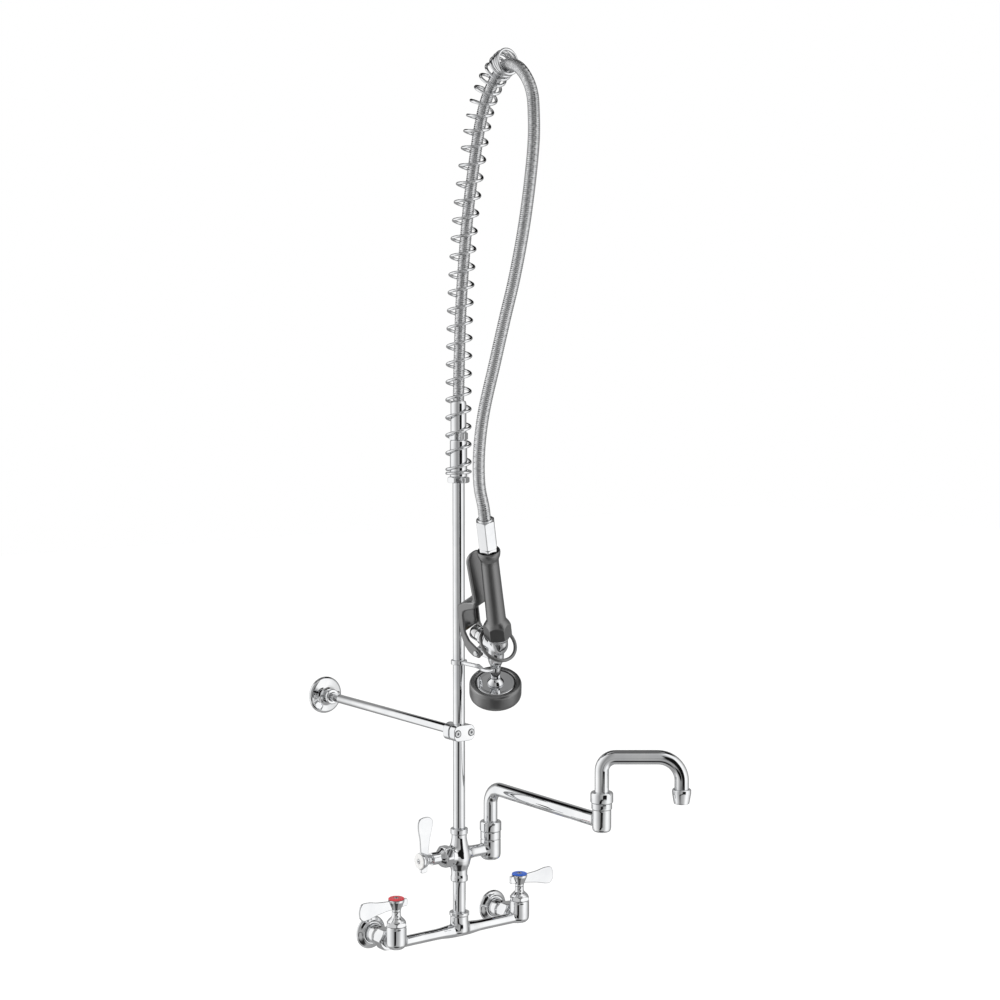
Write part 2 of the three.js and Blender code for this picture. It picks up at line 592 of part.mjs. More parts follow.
// ---- hose and overhead spring ----
function hoseAndSpring() {
  const route = smooth(HOSE_ROUTE);
  const end = inValve(new THREE.Vector3(0, 0, HANDLE_END + GAP));
  route.points.push(inValve(new THREE.Vector3(0, 0, HANDLE_END + 9)), end);
  add('hose', 'hose_steel', swept(route, HOSE_R, 44, 8));

  const spine = smooth(SPRING_ROUTE);
  const length = spine.getLength();
  const across = new THREE.Vector3(1, 0, 0);
  const openPitch = 23.4;
  const topPitch = 12;
  const tighteningRun = 150;          // the turns draw together over this last stretch
  const closedPitch = 2 * SPRING_WIRE_R + 0.5;
  const closedTop = 2.4;
  const points = [];
  const step = 1 / 8;
  let turns = 0;
  let at = 2;
  while (at < length - 2) {
    const u = at / length;
    const point = spine.getPointAt(u);
    const tangent = spine.getTangentAt(u);
    const out = new THREE.Vector3().crossVectors(tangent, across);
    const angle = turns * 2 * PI;
    points.push(point.addScaledVector(across, SPRING_R * cos(angle)).addScaledVector(out,
      SPRING_R * sin(angle)));
    const left = (length - 2 - at) / closedPitch;
    const easing = Math.min(1, turns < 1.2 ? 0 : (turns - 1.2) * 2, Math.max(0, (left - closedTop) / 4));
    const opened = Math.min(1, (length - 2 - at) / tighteningRun);
    const pitch = topPitch + (openPitch - topPitch) * opened;
    at += (closedPitch + (pitch - closedPitch) * easing) * step;
    turns += step;
  }
  const coil = new THREE.CatmullRomCurve3(points, false, 'centripetal');
  coil.getPointAt = (t, target) => coil.getPoint(t, target);
  coil.getTangentAt = (t, target) => coil.getTangent(t, target);
  add('overhead_spring', 'chrome', swept(coil, SPRING_WIRE_R, points.length - 1, 4));
}

// ---- spray valve ----
function valveMatrix() {
  const y = VALVE_LEVER_SIDE.clone();
  const z = VALVE_UP.clone().addScaledVector(y, -VALVE_UP.dot(y)).normalize();
  const x = new THREE.Vector3().crossVectors(y, z);
  return new THREE.Matrix4().makeBasis(x, y, z).setPosition(VALVE_ORIGIN);
}

const inValve = (thing) => thing.applyMatrix4(valveMatrix());
const onHead = (geometry) => geometry.rotateX(HEAD_TILT).translate(0, HEAD_Y, HEAD_Z);
const onBonnet = (geometry) => geometry.rotateX(-PI / 2 + BONNET_TILT).translate(0, 0, -BONNET_DROP);

function sprayHandle() {
  const facet = -140 * DEG;
  const ferruleFacet = facet + PI / 6;
  add('spray_hose_ferrule', 'chrome', inValve(join(
    hexagon(FERRULE_FLATS, GRIP_TOP + 5.3, HANDLE_END - 2, ferruleFacet),
    pipe(9.6, HANDLE_END - 3, HANDLE_END, 14),
  )));
  add('spray_swivel_nut', 'chrome', inValve(cut(
    hexagon(21.4, 131.6, GRIP_TOP + 5, ferruleFacet),
    pipe(7.3, 130, 134.4, 12),
    pipe(4, 133, GRIP_TOP + 6, 12),
  )));
  add('handle_tube', 'brass', inValve(turned([[5, -4.4], [7, -4.4], [7, 134], [5, 134]], 14)));
  const grip = join(
    hexagon(HEX_BASE_FLATS, 8, 27, facet),
    turned([[0, 20], [15.2, 20], [15.2, 28], [12.6, 33], [0, 33]], 14),
    turned([[0, 30], [12.5, 30], [11.5, 121], [12.2, 124], [14.4, 129], [14.8, 134],
      [14.2, GRIP_TOP], [0, GRIP_TOP]], 14),
  );
  add('handle_grip', 'grey_rubber', inValve(cut(grip, pipe(7.3, 0, 140, 14), pipe(12.9, 131.2, 140, 14))));
}

function sprayBody() {
  const funnel = turned([[0, -18], [5, -16.6], [9.5, -11], [11.6, -4], [12.4, 3], [14.6, 5.4],
    [14.6, 7.7], [0, 7.7]], 14);
  const barrel = onBonnet(turned([[0, -9], [8, -8], [11, -4], [11.3, 2], [11.3, 20], [0, 20]], 14));
  const lower = onHead(turned([[0, -18.7], [11, -18.7], [11, -17.2], [8.2, -13], [NECK_R, -9],
    [NECK_R, 10.5],
    [9.4, 16.5], [11, 25], [11, 41], [8, 46.5], [0, 48.5]], 14));
  const lug = (x0, x1) => alongX(pipe(6.2, x0, x1, 12)).translate(0, PIVOT_Y, PIVOT_Z);
  const bridge = new THREE.BoxGeometry(25, 18, 8.4).translate(0, PIVOT_Y - 9, PIVOT_Z - 0.2);
  const solid = join(funnel, barrel, lower, lug(-12.5, 12.5), bridge);
  add('spray_body', 'chrome', inValve(cut(
    solid,
    pipe(7.3, -4.7, 10, 14),
    pipe(5, -9, -3, 10),
    pipe(40, 7.7, 60, 12),
    onBonnet(pipe(7.5, -2, 21, 12)),
    onHead(pipe(4, -20, 46, 10)),
    alongX(pipe(2.5, -20, 20, 12)).translate(0, PIVOT_Y, PIVOT_Z),
  )));
  add('spray_bonnet', 'chrome', inValve(onBonnet(cut(
    join(hexagon(21, 20.3, 29, PI / 6), turned([[0, 28], [10.2, 28], [9.9, 30], [9.9, 41.6],
      [8.6, 44], [6, 45.2],
      [0, 45.2]], 14), pipe(7.2, 12, 22, 12)),
    pipe(3.2, 10, 46, 10),
  ))));
  add('spray_plunger', 'brass', inValve(onBonnet(turned([[0, 10], [6.4, 10], [6.4, 11.4], [2.9, 12],
    [2.9, 47.5],
    [2, 48.2], [0, 48.2]], 10))));
}

function squeezeLever() {
  // The side view is drawn in the valve's y, z and stretched across x.
  const across = (outline, width) => plate(outline, width).rotateZ(PI / 2);
  const side = [[29.8, 121], [28.8, 125], [27, 126.6], [25, 125], [24.2, 119], [20.5, 62],
    [20.5, 52], [23, 48.4],
    [38, 41], [42, 38], [43.6, 32], [43.6, 6], [38, -5], [26, -12.6], [21.2, -17], [20.6, -23], [24, -27.4],
    [34, -27.4], [41, -23.5], [47, -16], [52.6, 2], [53, 38], [52.4, 44.4], [40, 53], [28, 57.6],
      [26.2, 62]];
  const whole = across(side, 2 * LEVER_HALF);
  const belowWeb = across([[0, -40], [60, -40], [60, 3], [0, 3]], 2 * LEVER_INNER);
  const behindWeb = across([[0, -40], [48.6, -40], [48.6, 33], [40, 38], [14, 45], [0, 50]],
    2 * LEVER_INNER);
  const paddleOutline = new THREE.Shape();
  paddleOutline.moveTo(-40, -40);
  paddleOutline.lineTo(40, -40);
  paddleOutline.lineTo(40, 44);
  paddleOutline.lineTo(13.2, 58);
  paddleOutline.lineTo(13.6, 100);
  for (let i = 0; i <= 8; i += 1) {
    const angle = (i / 8) * PI;
    paddleOutline.lineTo(13.6 * cos(angle), 113 + 13.6 * sin(angle));
  }
  paddleOutline.lineTo(-13.6, 100);
  paddleOutline.lineTo(-13.2, 58);
  paddleOutline.lineTo(-40, 44);
  const front = facingOut(weld(new THREE.ExtrudeGeometry(paddleOutline,
    { depth: 90, bevelEnabled: false })));
  front.rotateX(PI / 2).translate(0, 80, 0);
  const solid = cut(common(whole, front), belowWeb, behindWeb,
    alongX(pipe(2.5, -20, 20, 12)).translate(0, PIVOT_Y, PIVOT_Z));
  add('squeeze_lever', 'grey_rubber', inValve(solid));
  const head = LEVER_HALF + GAP;
  add('lever_pivot_screw', 'steel', inValve(alongX(turned([[0, -head - 1.6], [3.4, -head - 1.6], [4, -head],
    [2.2, -head], [2.2, head], [4, head], [3.4, head + 1.6], [0, head + 1.6]], 10)).translate(0,
      PIVOT_Y, PIVOT_Z)));
}

function sprayHead() {
  add('spray_head_plate', 'chrome', inValve(onHead(turned([[0, -19], [20, -19], [24.4, -18.4],
    [PLATE_R, -19.4],
    [PLATE_R, -22.6], [4, -22.6], [4, -21], [0, -21]], 20))));
  add('spray_bumper', 'grey_rubber', inValve(onHead(turned([[26.4, -17.6], [29, -16.6],
    [32.6, -17.6], [BUMPER_R, -20.4],
    [BUMPER_R, -36], [33.4, -39.6], [31, -41.4], [27.6, -41.4], [26.4, -40]], 20))));
  let face = turned([[0, -39.4], [24, -39.4], [PLATE_R, -38.4], [PLATE_R, -22.9], [24, -22.9],
    [24, -36.4], [0, -36.4]], 14);
  const holes = [pipe(2.5, -45, -30, 12)];
  for (const [ring, count] of [[9, 4], [17, 8]]) {
    for (let i = 0; i < count; i += 1) {
      const angle = (i / count) * 2 * PI;
      holes.push(pipe(1.1, -45, -30, 6).translate(ring * cos(angle), ring * sin(angle), 0));
    }
  }
  face = cut(face, ...holes);
  add('spray_face', 'steel', inValve(onHead(face)));
  add('spray_face_screw', 'steel', inValve(onHead(turned([[0, -42], [4, -41.4], [4.4, -39.7], [2.2, -39.7],
    [2.2, -24], [0, -24]], 10))));
}

function holdRing() {
  const ring = new THREE.TorusGeometry(RING_R, RING_WIRE_R, 7, 22);
  const right = new THREE.Vector3(0, 0, 1).cross(RING_NORMAL).normalize();
  const up = new THREE.Vector3().crossVectors(RING_NORMAL, right);
  ring.applyMatrix4(new THREE.Matrix4().makeBasis(right, up, RING_NORMAL).setPosition(RING_MIDDLE));
  add('hold_ring', 'grey_rubber', facingOut(weld(ring)));
}

mixingBody();
inlet(-1, 'hot');
inlet(1, 'cold');
deckValve(-1, 'hot', 'red');
deckValve(1, 'cold', 'blue');
addonBody();
addonValve();
spout();
riser();
wallBracket();
sprayHook();
hoseAndSpring();
sprayHandle();
sprayBody();
squeezeLever();
sprayHead();
holdRing();

for (const mesh of parts.children) {
  mesh.geometry.translate(0, -INLET_REACH, 0);
  mesh.geometry.computeVertexNormals();
}

export default parts;
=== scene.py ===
"""The pre-rinse faucet's visual model: castings, turned fittings, hose, spring and spray valve.

Profiles and outlines are in millimetres, measured round the riser's axis and up from the
inlets' centre line, or in the spray valve's own frame. place() brings them to the frame's metres.
"""

import json
from math import cos, pi, radians, sin, sqrt

import bmesh
import bpy
import numpy as np
from mathutils import Matrix, Vector


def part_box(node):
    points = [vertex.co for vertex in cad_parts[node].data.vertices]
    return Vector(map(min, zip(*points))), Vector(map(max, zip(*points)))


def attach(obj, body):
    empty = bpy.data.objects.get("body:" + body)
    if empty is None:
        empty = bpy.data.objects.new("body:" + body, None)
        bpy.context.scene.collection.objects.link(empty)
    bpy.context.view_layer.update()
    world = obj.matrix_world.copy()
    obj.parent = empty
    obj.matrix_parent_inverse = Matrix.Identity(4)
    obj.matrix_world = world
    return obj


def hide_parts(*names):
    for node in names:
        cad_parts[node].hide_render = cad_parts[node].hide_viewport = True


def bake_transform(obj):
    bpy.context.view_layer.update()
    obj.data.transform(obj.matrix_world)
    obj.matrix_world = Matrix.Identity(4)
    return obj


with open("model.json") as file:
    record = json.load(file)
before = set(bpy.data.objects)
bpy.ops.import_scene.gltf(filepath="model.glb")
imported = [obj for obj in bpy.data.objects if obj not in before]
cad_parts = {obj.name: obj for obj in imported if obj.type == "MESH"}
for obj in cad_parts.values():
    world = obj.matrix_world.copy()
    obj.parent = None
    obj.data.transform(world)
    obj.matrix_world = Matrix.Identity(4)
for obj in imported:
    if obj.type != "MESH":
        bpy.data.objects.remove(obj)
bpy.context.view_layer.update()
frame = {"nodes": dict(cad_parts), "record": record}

MM = 0.001
RECORD = frame["record"]
SLOT_OF = {part["node"]: part["material_slot"] for part in RECORD["subparts"]}
BODY_OF = {node: body for body, held in RECORD["behaviour"]["bodies"].items() for node in held}
replaced = set()


# ---------------------------------------------------------------- places in the frame
def middle(node):
    low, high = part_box(node)
    return (low + high) / 2


RISER_Y = middle("riser_pipe").y
COLD_X = middle("cold_bonnet_nut").x
SPOUT_X = middle("spout_nut").x / MM
ARM_END_Y = (middle("spout_end_nut").y - RISER_Y) / MM

AIM_X = Matrix.Rotation(pi / 2, 4, "Y")
AIM_Y = Matrix.Rotation(-pi / 2, 4, "X")


def place(x=0.0, y=0.0, z=0.0, turn=None):
    """Millimetres round the riser's axis to metres in the frame."""
    matrix = Matrix.Translation((x * MM, RISER_Y + y * MM, z * MM))
    if turn is not None:
        matrix = matrix @ turn
    return matrix @ Matrix.Scale(MM, 4)


VALVE_ORIGIN = Vector((-12.4, -106.2, 407.3))
LEVER_SIDE = Vector((-0.235, 0.95, 0.206)).normalized()
HANDLE_UP = Vector((-0.321, -0.276, 0.906)).normalized()
HEAD_TILT = radians(7.6)
HEAD_Y = 11.9
HEAD_Z = -51.5
BONNET_TILT = radians(11.5)
BONNET_DROP = 7.8
PIVOT_Y = 27.5
PIVOT_Z = -20.5
HANDLE_END = 182.0


def valve_axes():
    up = (HANDLE_UP - LEVER_SIDE * HANDLE_UP.dot(LEVER_SIDE)).normalized()
    across = LEVER_SIDE.cross(up)
    columns = Matrix((across, LEVER_SIDE, up)).transposed()
    return Matrix.Translation(VALVE_ORIGIN) @ columns.to_4x4()


IN_VALVE = place() @ valve_axes()
ON_HEAD = IN_VALVE @ Matrix.Translation((0, HEAD_Y, HEAD_Z)) @ Matrix.Rotation(HEAD_TILT, 4, "X")
ON_BONNET = (IN_VALVE @ Matrix.Translation((0, 0, -BONNET_DROP))
             @ Matrix.Rotation(BONNET_TILT - pi / 2, 4, "X"))
AT_PIVOT = IN_VALVE @ Matrix.Translation((0, PIVOT_Y, PIVOT_Z)) @ AIM_X


# ---------------------------------------------------------------- camera
def camera():
    data = bpy.data.cameras.new("camera")
    data.lens = 69.74
    data.sensor_width = 36.0
    data.clip_end = 50.0
    eye = bpy.data.objects.new("camera", data)
    eye.location = (-1.4800, -2.1556, 0.7856)
    eye.rotation_euler = (radians(90 - 4.55), 0.0, radians(-36.51))
    bpy.context.scene.collection.objects.link(eye)
    bpy.context.scene.camera = eye


# ---------------------------------------------------------------- materials
class Nodes:
    """A small helper for building one material's node tree."""

    def __init__(self, name):
        self.material = bpy.data.materials.new(name)
        self.material.use_nodes = True
        self.tree = self.material.node_tree
        self.shader = self.tree.nodes["Principled BSDF"]
        self.place = self.add("ShaderNodeTexCoord").outputs["Object"]

    def add(self, kind, **values):
        node = self.tree.nodes.new(kind)
        for key, value in values.items():
            if hasattr(node, key):
                setattr(node, key, value)
            else:
                node.inputs[key.replace("_", " ").title()].default_value = value
        return node

    def link(self, output, target):
        self.tree.links.new(output, target)

    def stretched(self, scale):
        mapping = self.add("ShaderNodeMapping")
        mapping.inputs["Scale"].default_value = scale
        self.link(self.place, mapping.inputs["Vector"])
        return mapping.outputs["Vector"]

    def noise(self, scale, detail=3.0, roughness=0.55, stretch=(1, 1, 1)):
        noise = self.add("ShaderNodeTexNoise", scale=scale, detail=detail, roughness=roughness)
        self.link(self.stretched(stretch), noise.inputs["Vector"])
        return noise.outputs["Fac"]

    def ramp(self, value, low, high, start=0.3, end=0.7):
        ramp = self.add("ShaderNodeMapRange")
        ramp.inputs["From Min"].default_value = start
        ramp.inputs["From Max"].default_value = end
        ramp.inputs["To Min"].default_value = low
        ramp.inputs["To Max"].default_value = high
        self.link(value, ramp.inputs["Value"])
        return ramp.outputs["Result"]

    def colour(self, value, first, second, start=0.3, end=0.7):
        mix = self.add("ShaderNodeMix", data_type="RGBA")
        self.link(self.ramp(value, 0, 1, start, end), mix.inputs["Factor"])
        # The colour sockets come after the plain and vector ones.
        mix.inputs[6].default_value = (*first, 1)
        mix.inputs[7].default_value = (*second, 1)
        self.link(mix.outputs[2], self.shader.inputs["Base Color"])

    def bumps(self, *layers):
        """Each layer is (height, metres of relief)."""
        normal = None
        for height, relief in layers:
            bump = self.add("ShaderNodeBump")
            bump.inputs["Strength"].default_value = 1.0
            bump.inputs["Distance"].default_value = relief
            self.link(height, bump.inputs["Height"])
            if normal is not None:
                self.link(normal, bump.inputs["Normal"])
            normal = bump.outputs["Normal"]
        self.link(normal, self.shader.inputs["Normal"])

    def set(self, **values):
        for key, value in values.items():
            self.shader.inputs[key.replace("_", " ").title().replace("Ior", "IOR")].default_value = value


def chrome_plate():
    m = Nodes("chrome_plate")
    m.set(metallic=1.0)
    smear = m.noise(38, detail=4)
    m.colour(smear, (0.76, 0.77, 0.785), (0.86, 0.865, 0.87))
    m.link(m.ramp(smear, 0.015, 0.04), m.shader.inputs["Roughness"])
    m.bumps((m.noise(95, detail=1), 0.00002), (m.noise(2600, detail=2), 0.0000008))
    return m.material


def bright_steel():
    m = Nodes("bright_steel")
    m.set(metallic=1.0)
    grain = m.noise(420, detail=4, stretch=(1, 1, 9))
    m.colour(grain, (0.56, 0.57, 0.58), (0.74, 0.745, 0.75))
    m.link(m.ramp(grain, 0.2, 0.34), m.shader.inputs["Roughness"])
    m.bumps((grain, 0.00002))
    return m.material


def stainless_hose():
    m = Nodes("stainless_hose")
    m.set(metallic=1.0)
    grain = m.noise(260, detail=5)
    m.colour(grain, (0.5, 0.505, 0.515), (0.72, 0.725, 0.73))
    m.link(m.ramp(grain, 0.09, 0.2), m.shader.inputs["Roughness"])
    m.bumps((m.noise(1400, detail=2), 0.000008))
    return m.material


def bare_brass():
    m = Nodes("bare_brass")
    m.set(metallic=1.0)
    tarnish = m.noise(120, detail=5)
    m.colour(tarnish, (0.52, 0.36, 0.14), (0.74, 0.57, 0.28))
    m.link(m.ramp(tarnish, 0.24, 0.42), m.shader.inputs["Roughness"])
    m.bumps((m.noise(900, detail=2), 0.00002))
    return m.material


def grey_grip():
    m = Nodes("grey_grip")
    m.set(metallic=0.0, ior=2.0)
    m.shader.inputs["Specular IOR Level"].default_value = 1.0
    wear = m.noise(26, detail=5)
    m.colour(wear, (0.011, 0.0115, 0.012), (0.019, 0.0195, 0.02))
    m.link(m.ramp(wear, 0.28, 0.34), m.shader.inputs["Roughness"])
    m.bumps((m.noise(1500, detail=3, roughness=0.65), 0.00003), (m.noise(210, detail=2), 0.00004))
    return m.material


def index_button(name, dark, light):
    m = Nodes(name)
    m.set(metallic=0.0, ior=1.49)
    tint = m.noise(300, detail=4)
    m.colour(tint, dark, light)
    m.link(m.ramp(tint, 0.16, 0.3), m.shader.inputs["Roughness"])
    m.bumps((m.noise(700, detail=2), 0.00002))
    return m.material


MATERIALS = {
    "chrome_plate": chrome_plate(),
    "bright_steel": bright_steel(),
    "stainless_hose": stainless_hose(),
    "bare_brass": bare_brass(),
    "grey_grip": grey_grip(),
    "index_red": index_button("index_red", (0.56, 0.035, 0.05), (0.68, 0.06, 0.07)),
    "index_blue": index_button("index_blue", (0.02, 0.1, 0.52), (0.035, 0.15, 0.68)),
    "index_plain": index_button("index_plain", (0.66, 0.66, 0.65), (0.78, 0.78, 0.77)),
}


# ---------------------------------------------------------------- pieces and meshes
def piece_for(node, points, faces, matrix, sharp=radians(38), rides=True):
    """A mesh that takes over from a CAD node: its slot, its material and its body."""
    name = f"{node}_shape"
    mesh = bpy.data.meshes.new(name)
    mesh.from_pydata(points, [], faces)
    mesh.transform(matrix)
    outward(mesh)
    mesh.shade_smooth()
    if sharp is not None:
        mesh.set_sharp_from_angle(angle=sharp)
    piece = bpy.data.objects.new(name, mesh)
    bpy.context.scene.collection.objects.link(piece)
    mesh.materials.append(MATERIALS[SLOT_OF[node]])
    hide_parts(node)
    if rides:
        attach(piece, BODY_OF[node])
    replaced.add(node)
    return piece


def outward(mesh):
    """Turns a closed mesh right side out."""
    work = bmesh.new()
    work.from_mesh(mesh)
    if work.calc_volume(signed=True) < 0:
        bmesh.ops.reverse_faces(work, faces=work.faces)
        work.to_mesh(mesh)
    work.free()
    mesh.update()


def eased(corners, edge, closed, steps=3):
    """The same line with every corner rounded; a corner may carry a third value, its flats' share."""
    corners = [tuple(c) + (0.0,) * (3 - len(c)) for c in corners]
    count = len(corners)
    line = []
    for i, corner in enumerate(corners):
        if not closed and i in (0, count - 1):
            line.append(np.array(corner, float))
            continue
        here = np.array(corner, float)
        before = np.array(corners[i - 1], float)
        after = np.array(corners[(i + 1) % count], float)
        back, on = before - here, after - here
        reach_back, reach_on = np.hypot(*back[:2]), np.hypot(*on[:2])
        trim = min(edge, 0.45 * reach_back, 0.45 * reach_on)
        start, end = here + back * trim / reach_back, here + on * trim / reach_on
        for step in range(steps + 1):
            t = step / steps
            point = (1 - t) ** 2 * start + 2 * t * (1 - t) * here + t ** 2 * end
            point[2] = here[2]
            line.append(point)
    return line


def stepped(line, steps=5):
    """More rings along the cone that cuts a hexagon's corners."""
    fine = []
    for here, on in zip(line, line[1:]):
        fine.append(here)
        if here[2] and on[2] and abs(on[0] - here[0]) > 0.3:
            fine.extend(here + (on - here) * i / steps for i in range(1, steps))
    fine.append(line[-1])
    return fine


def flats_radius(angle, flats, turn):
    """Distance from the axis to a hexagon's side in this direction."""
    from_middle = (angle - turn + pi / 6) % (pi / 3) - pi / 6
    return flats / 2 / cos(from_middle)


def turned(node, profile, matrix, flats=None, turn=0.0, sides=72, edge=0.5, closed=False):
    """A body of revolution; corners of the profile marked 1 are cut to a hexagon across flats."""
    line = stepped(eased(profile, edge, closed))
    points, rings, faces = [], [], []
    for radius, height, share in line:
        if radius < 1e-6:
            rings.append([len(points)])
            points.append((0.0, 0.0, height))
            continue
        ring = []
        for i in range(sides):
            angle = 2 * pi * i / sides
            reach = radius
            if share and flats:
                reach = radius + share * (min(radius, flats_radius(angle, flats, turn)) - radius)
            ring.append(len(points))
            points.append((reach * cos(angle), reach * sin(angle), height))
        rings.append(ring)
    pairs = list(zip(rings, rings[1:]))
    if closed:
        pairs.append((rings[-1], rings[0]))
    for low, high in pairs:
        for i in range(sides):
            j = (i + 1) % sides
            if len(low) == 1 and len(high) == 1:
                break
            if len(low) == 1:
                faces.append((low[0], high[j], high[i]))
            elif len(high) == 1:
                faces.append((low[i], low[j], high[0]))
            else:
                faces.append((low[i], low[j], high[j], high[i]))
    return piece_for(node, points, faces, matrix)


def smooth_line(corners, spacing):
    """A smooth line through the corners, as points about that far apart."""
    corners = [np.array(c, float) for c in corners]
    chain = [2 * corners[0] - corners[1]] + corners + [2 * corners[-1] - corners[-2]]
    fine = []
    for p0, p1, p2, p3 in zip(chain, chain[1:], chain[2:], chain[3:]):
        t0 = 0.0
        t1 = t0 + sqrt(np.linalg.norm(p1 - p0))
        t2 = t1 + sqrt(np.linalg.norm(p2 - p1))
        t3 = t2 + sqrt(np.linalg.norm(p3 - p2))
        for t in np.linspace(t1, t2, 24, endpoint=False):
            a1 = (t1 - t) / (t1 - t0) * p0 + (t - t0) / (t1 - t0) * p1
            a2 = (t2 - t) / (t2 - t1) * p1 + (t - t1) / (t2 - t1) * p2
            a3 = (t3 - t) / (t3 - t2) * p2 + (t - t2) / (t3 - t2) * p3
            b1 = (t2 - t) / (t2 - t0) * a1 + (t - t0) / (t2 - t0) * a2
            b2 = (t3 - t) / (t3 - t1) * a2 + (t - t1) / (t3 - t1) * a3
            fine.append((t2 - t) / (t2 - t1) * b1 + (t - t1) / (t2 - t1) * b2)
    fine.append(corners[-1])
    return evenly(np.array(fine), spacing)


def evenly(line, spacing):
    steps = np.linalg.norm(np.diff(line, axis=0), axis=1)
    run = np.concatenate([[0], np.cumsum(steps)])
    count = max(int(round(run[-1] / spacing)), 2)
    where = np.linspace(0, run[-1], count + 1)
    return np.stack([np.interp(where, run, line[:, i]) for i in range(3)], axis=1)


def bent_line(corners, *bends, steps=12):
    """Straight runs whose inner corners are arcs of the given radii."""
    corners = [np.array(c, float) for c in corners]
    line = [corners[0]]
    for before, here, after, bend in zip(corners, corners[1:], corners[2:], bends):
        back = (before - here) / np.linalg.norm(before - here)
        on = (after - here) / np.linalg.norm(after - here)
        half = np.arccos(np.clip(back @ on, -1, 1)) / 2
        bisector = (back + on) / np.linalg.norm(back + on)
        centre = here + bisector * bend / sin(half)
        start = here + back * bend / np.tan(half) - centre
        end = here + on * bend / np.tan(half) - centre
        sweep = np.arccos(np.clip(start @ end / bend ** 2, -1, 1))
        for i in range(steps + 1):
            t = i / steps
            line.append(centre + (sin((1 - t) * sweep) * start + sin(t * sweep) * end) / sin(sweep))
    line.append(corners[-1])
    return np.array(line)


def carried_frames(line):
    """A direction across the line at each point, turned as little as possible on the way."""
    ahead = np.gradient(line, axis=0)
    ahead /= np.linalg.norm(ahead, axis=1)[:, None]
    side = np.cross(ahead[0], (0.0, 1.0, 0.0))
    if np.linalg.norm(side) < 0.1:
        side = np.cross(ahead[0], (1.0, 0.0, 0.0))
    sides = []
    for direction in ahead:
        side = side - direction * (side @ direction)
        side /= np.linalg.norm(side)
        sides.append(side.copy())
    return np.array(sides), np.cross(ahead, np.array(sides))


def tube(node, line, radius, matrix, sides=40, relief=None, rides=True):
    """A round section carried along the line; relief(run, angle) adds height to its surface."""
    line = np.asarray(line, float)
    first, second = carried_frames(line)
    run = np.concatenate([[0], np.cumsum(np.linalg.norm(np.diff(line, axis=0), axis=1))])
    angle = 2 * pi * np.arange(sides) / sides
    reach = np.full((len(line), sides), float(radius))
    if relief is not None:
        reach += relief(run[:, None], angle[None, :])
    ring = (line[:, None, :] + reach[..., None] * (
        np.cos(angle)[None, :, None] * first[:, None, :]
        + np.sin(angle)[None, :, None] * second[:, None, :]))
    points = [tuple(p) for p in ring.reshape(-1, 3)]
    faces = []
    for k in range(len(line) - 1):
        for i in range(sides):
            j = (i + 1) % sides
            low, high = k * sides, (k + 1) * sides
            faces.append((low + i, low + j, high + j, high + i))
    faces.append(tuple(range(sides))[::-1])
    faces.append(tuple((len(line) - 1) * sides + i for i in range(sides)))
    return piece_for(node, points, faces, matrix, rides=rides)


# ---------------------------------------------------------------- shapes given by distance
def polygon_distance(u, v, corners):
    """Signed distance to a closed outline; a side lying on u = 0 is an axis, not a surface."""
    squared = np.full(u.shape, 1e9)
    inside = np.zeros(u.shape, bool)
    for (u0, v0), (u1, v1) in zip(corners, corners[1:] + corners[:1]):
        du, dv = u1 - u0, v1 - v0
        if abs(dv) > 1e-9:
            crosses = (v0 > v) != (v1 > v)
            inside ^= crosses & (u < u0 + (v - v0) * du / dv)
        if u0 <= 0 and u1 <= 0:
            continue
        t = np.clip(((u - u0) * du + (v - v0) * dv) / (du * du + dv * dv), 0, 1)
        squared = np.minimum(squared, (u - u0 - t * du) ** 2 + (v - v0 - t * dv) ** 2)
    return np.where(inside, -1, 1) * np.sqrt(squared)


def revolved(*profile):
    corners = list(profile)
    return lambda p: polygon_distance(np.hypot(p[:, 0], p[:, 1]), p[:, 2], corners)


def rod(radius, low, high):
    return revolved((0, low), (radius, low), (radius, high), (0, high))


def extruded(outline, half, edge, normal=1, centre=0.0):
    """An outline in the two other axes, half that thick each way along the normal axis."""
    first, second = [axis for axis in range(3) if axis != normal]
    corners = list(outline)

    def distance(p):
        flat = polygon_distance(p[:, first] + 500, p[:, second],
                                [(a + 500, b) for a, b in corners]) + edge
        thick = np.abs(p[:, normal] - centre) - half + edge
        outer = np.hypot(np.maximum(flat, 0), np.maximum(thick, 0))
        return outer + np.minimum(np.maximum(flat, thick), 0) - edge
    return distance


def moved(shape, matrix):
    back = np.array(matrix.inverted())
    return lambda p: shape(p @ back[:3, :3].T + back[:3, 3])


def melt(a, b, reach):
    """The smaller of two distances, with a fillet where they are close."""
    share = np.clip(0.5 + 0.5 * (b - a) / reach, 0, 1)
    return b * (1 - share) + a * share - reach * share * (1 - share)


def united(reach, *shapes):
    def distance(p):
        total = shapes[0](p)
        for shape in shapes[1:]:
            total = melt(total, shape(p), reach)
        return total
    return distance


def carved(shape, reach, *tools):
    def distance(p):
        total = shape(p)
        for tool in tools:
            total = -melt(-total, tool(p), reach)
        return total
    return distance


def gradient(shape, points, step=0.02):
    slope = np.empty_like(points)
    for axis in range(3):
        shift = np.zeros(3)
        shift[axis] = step
        slope[:, axis] = (shape(points + shift) - shape(points - shift)) / (2 * step)
    return slope


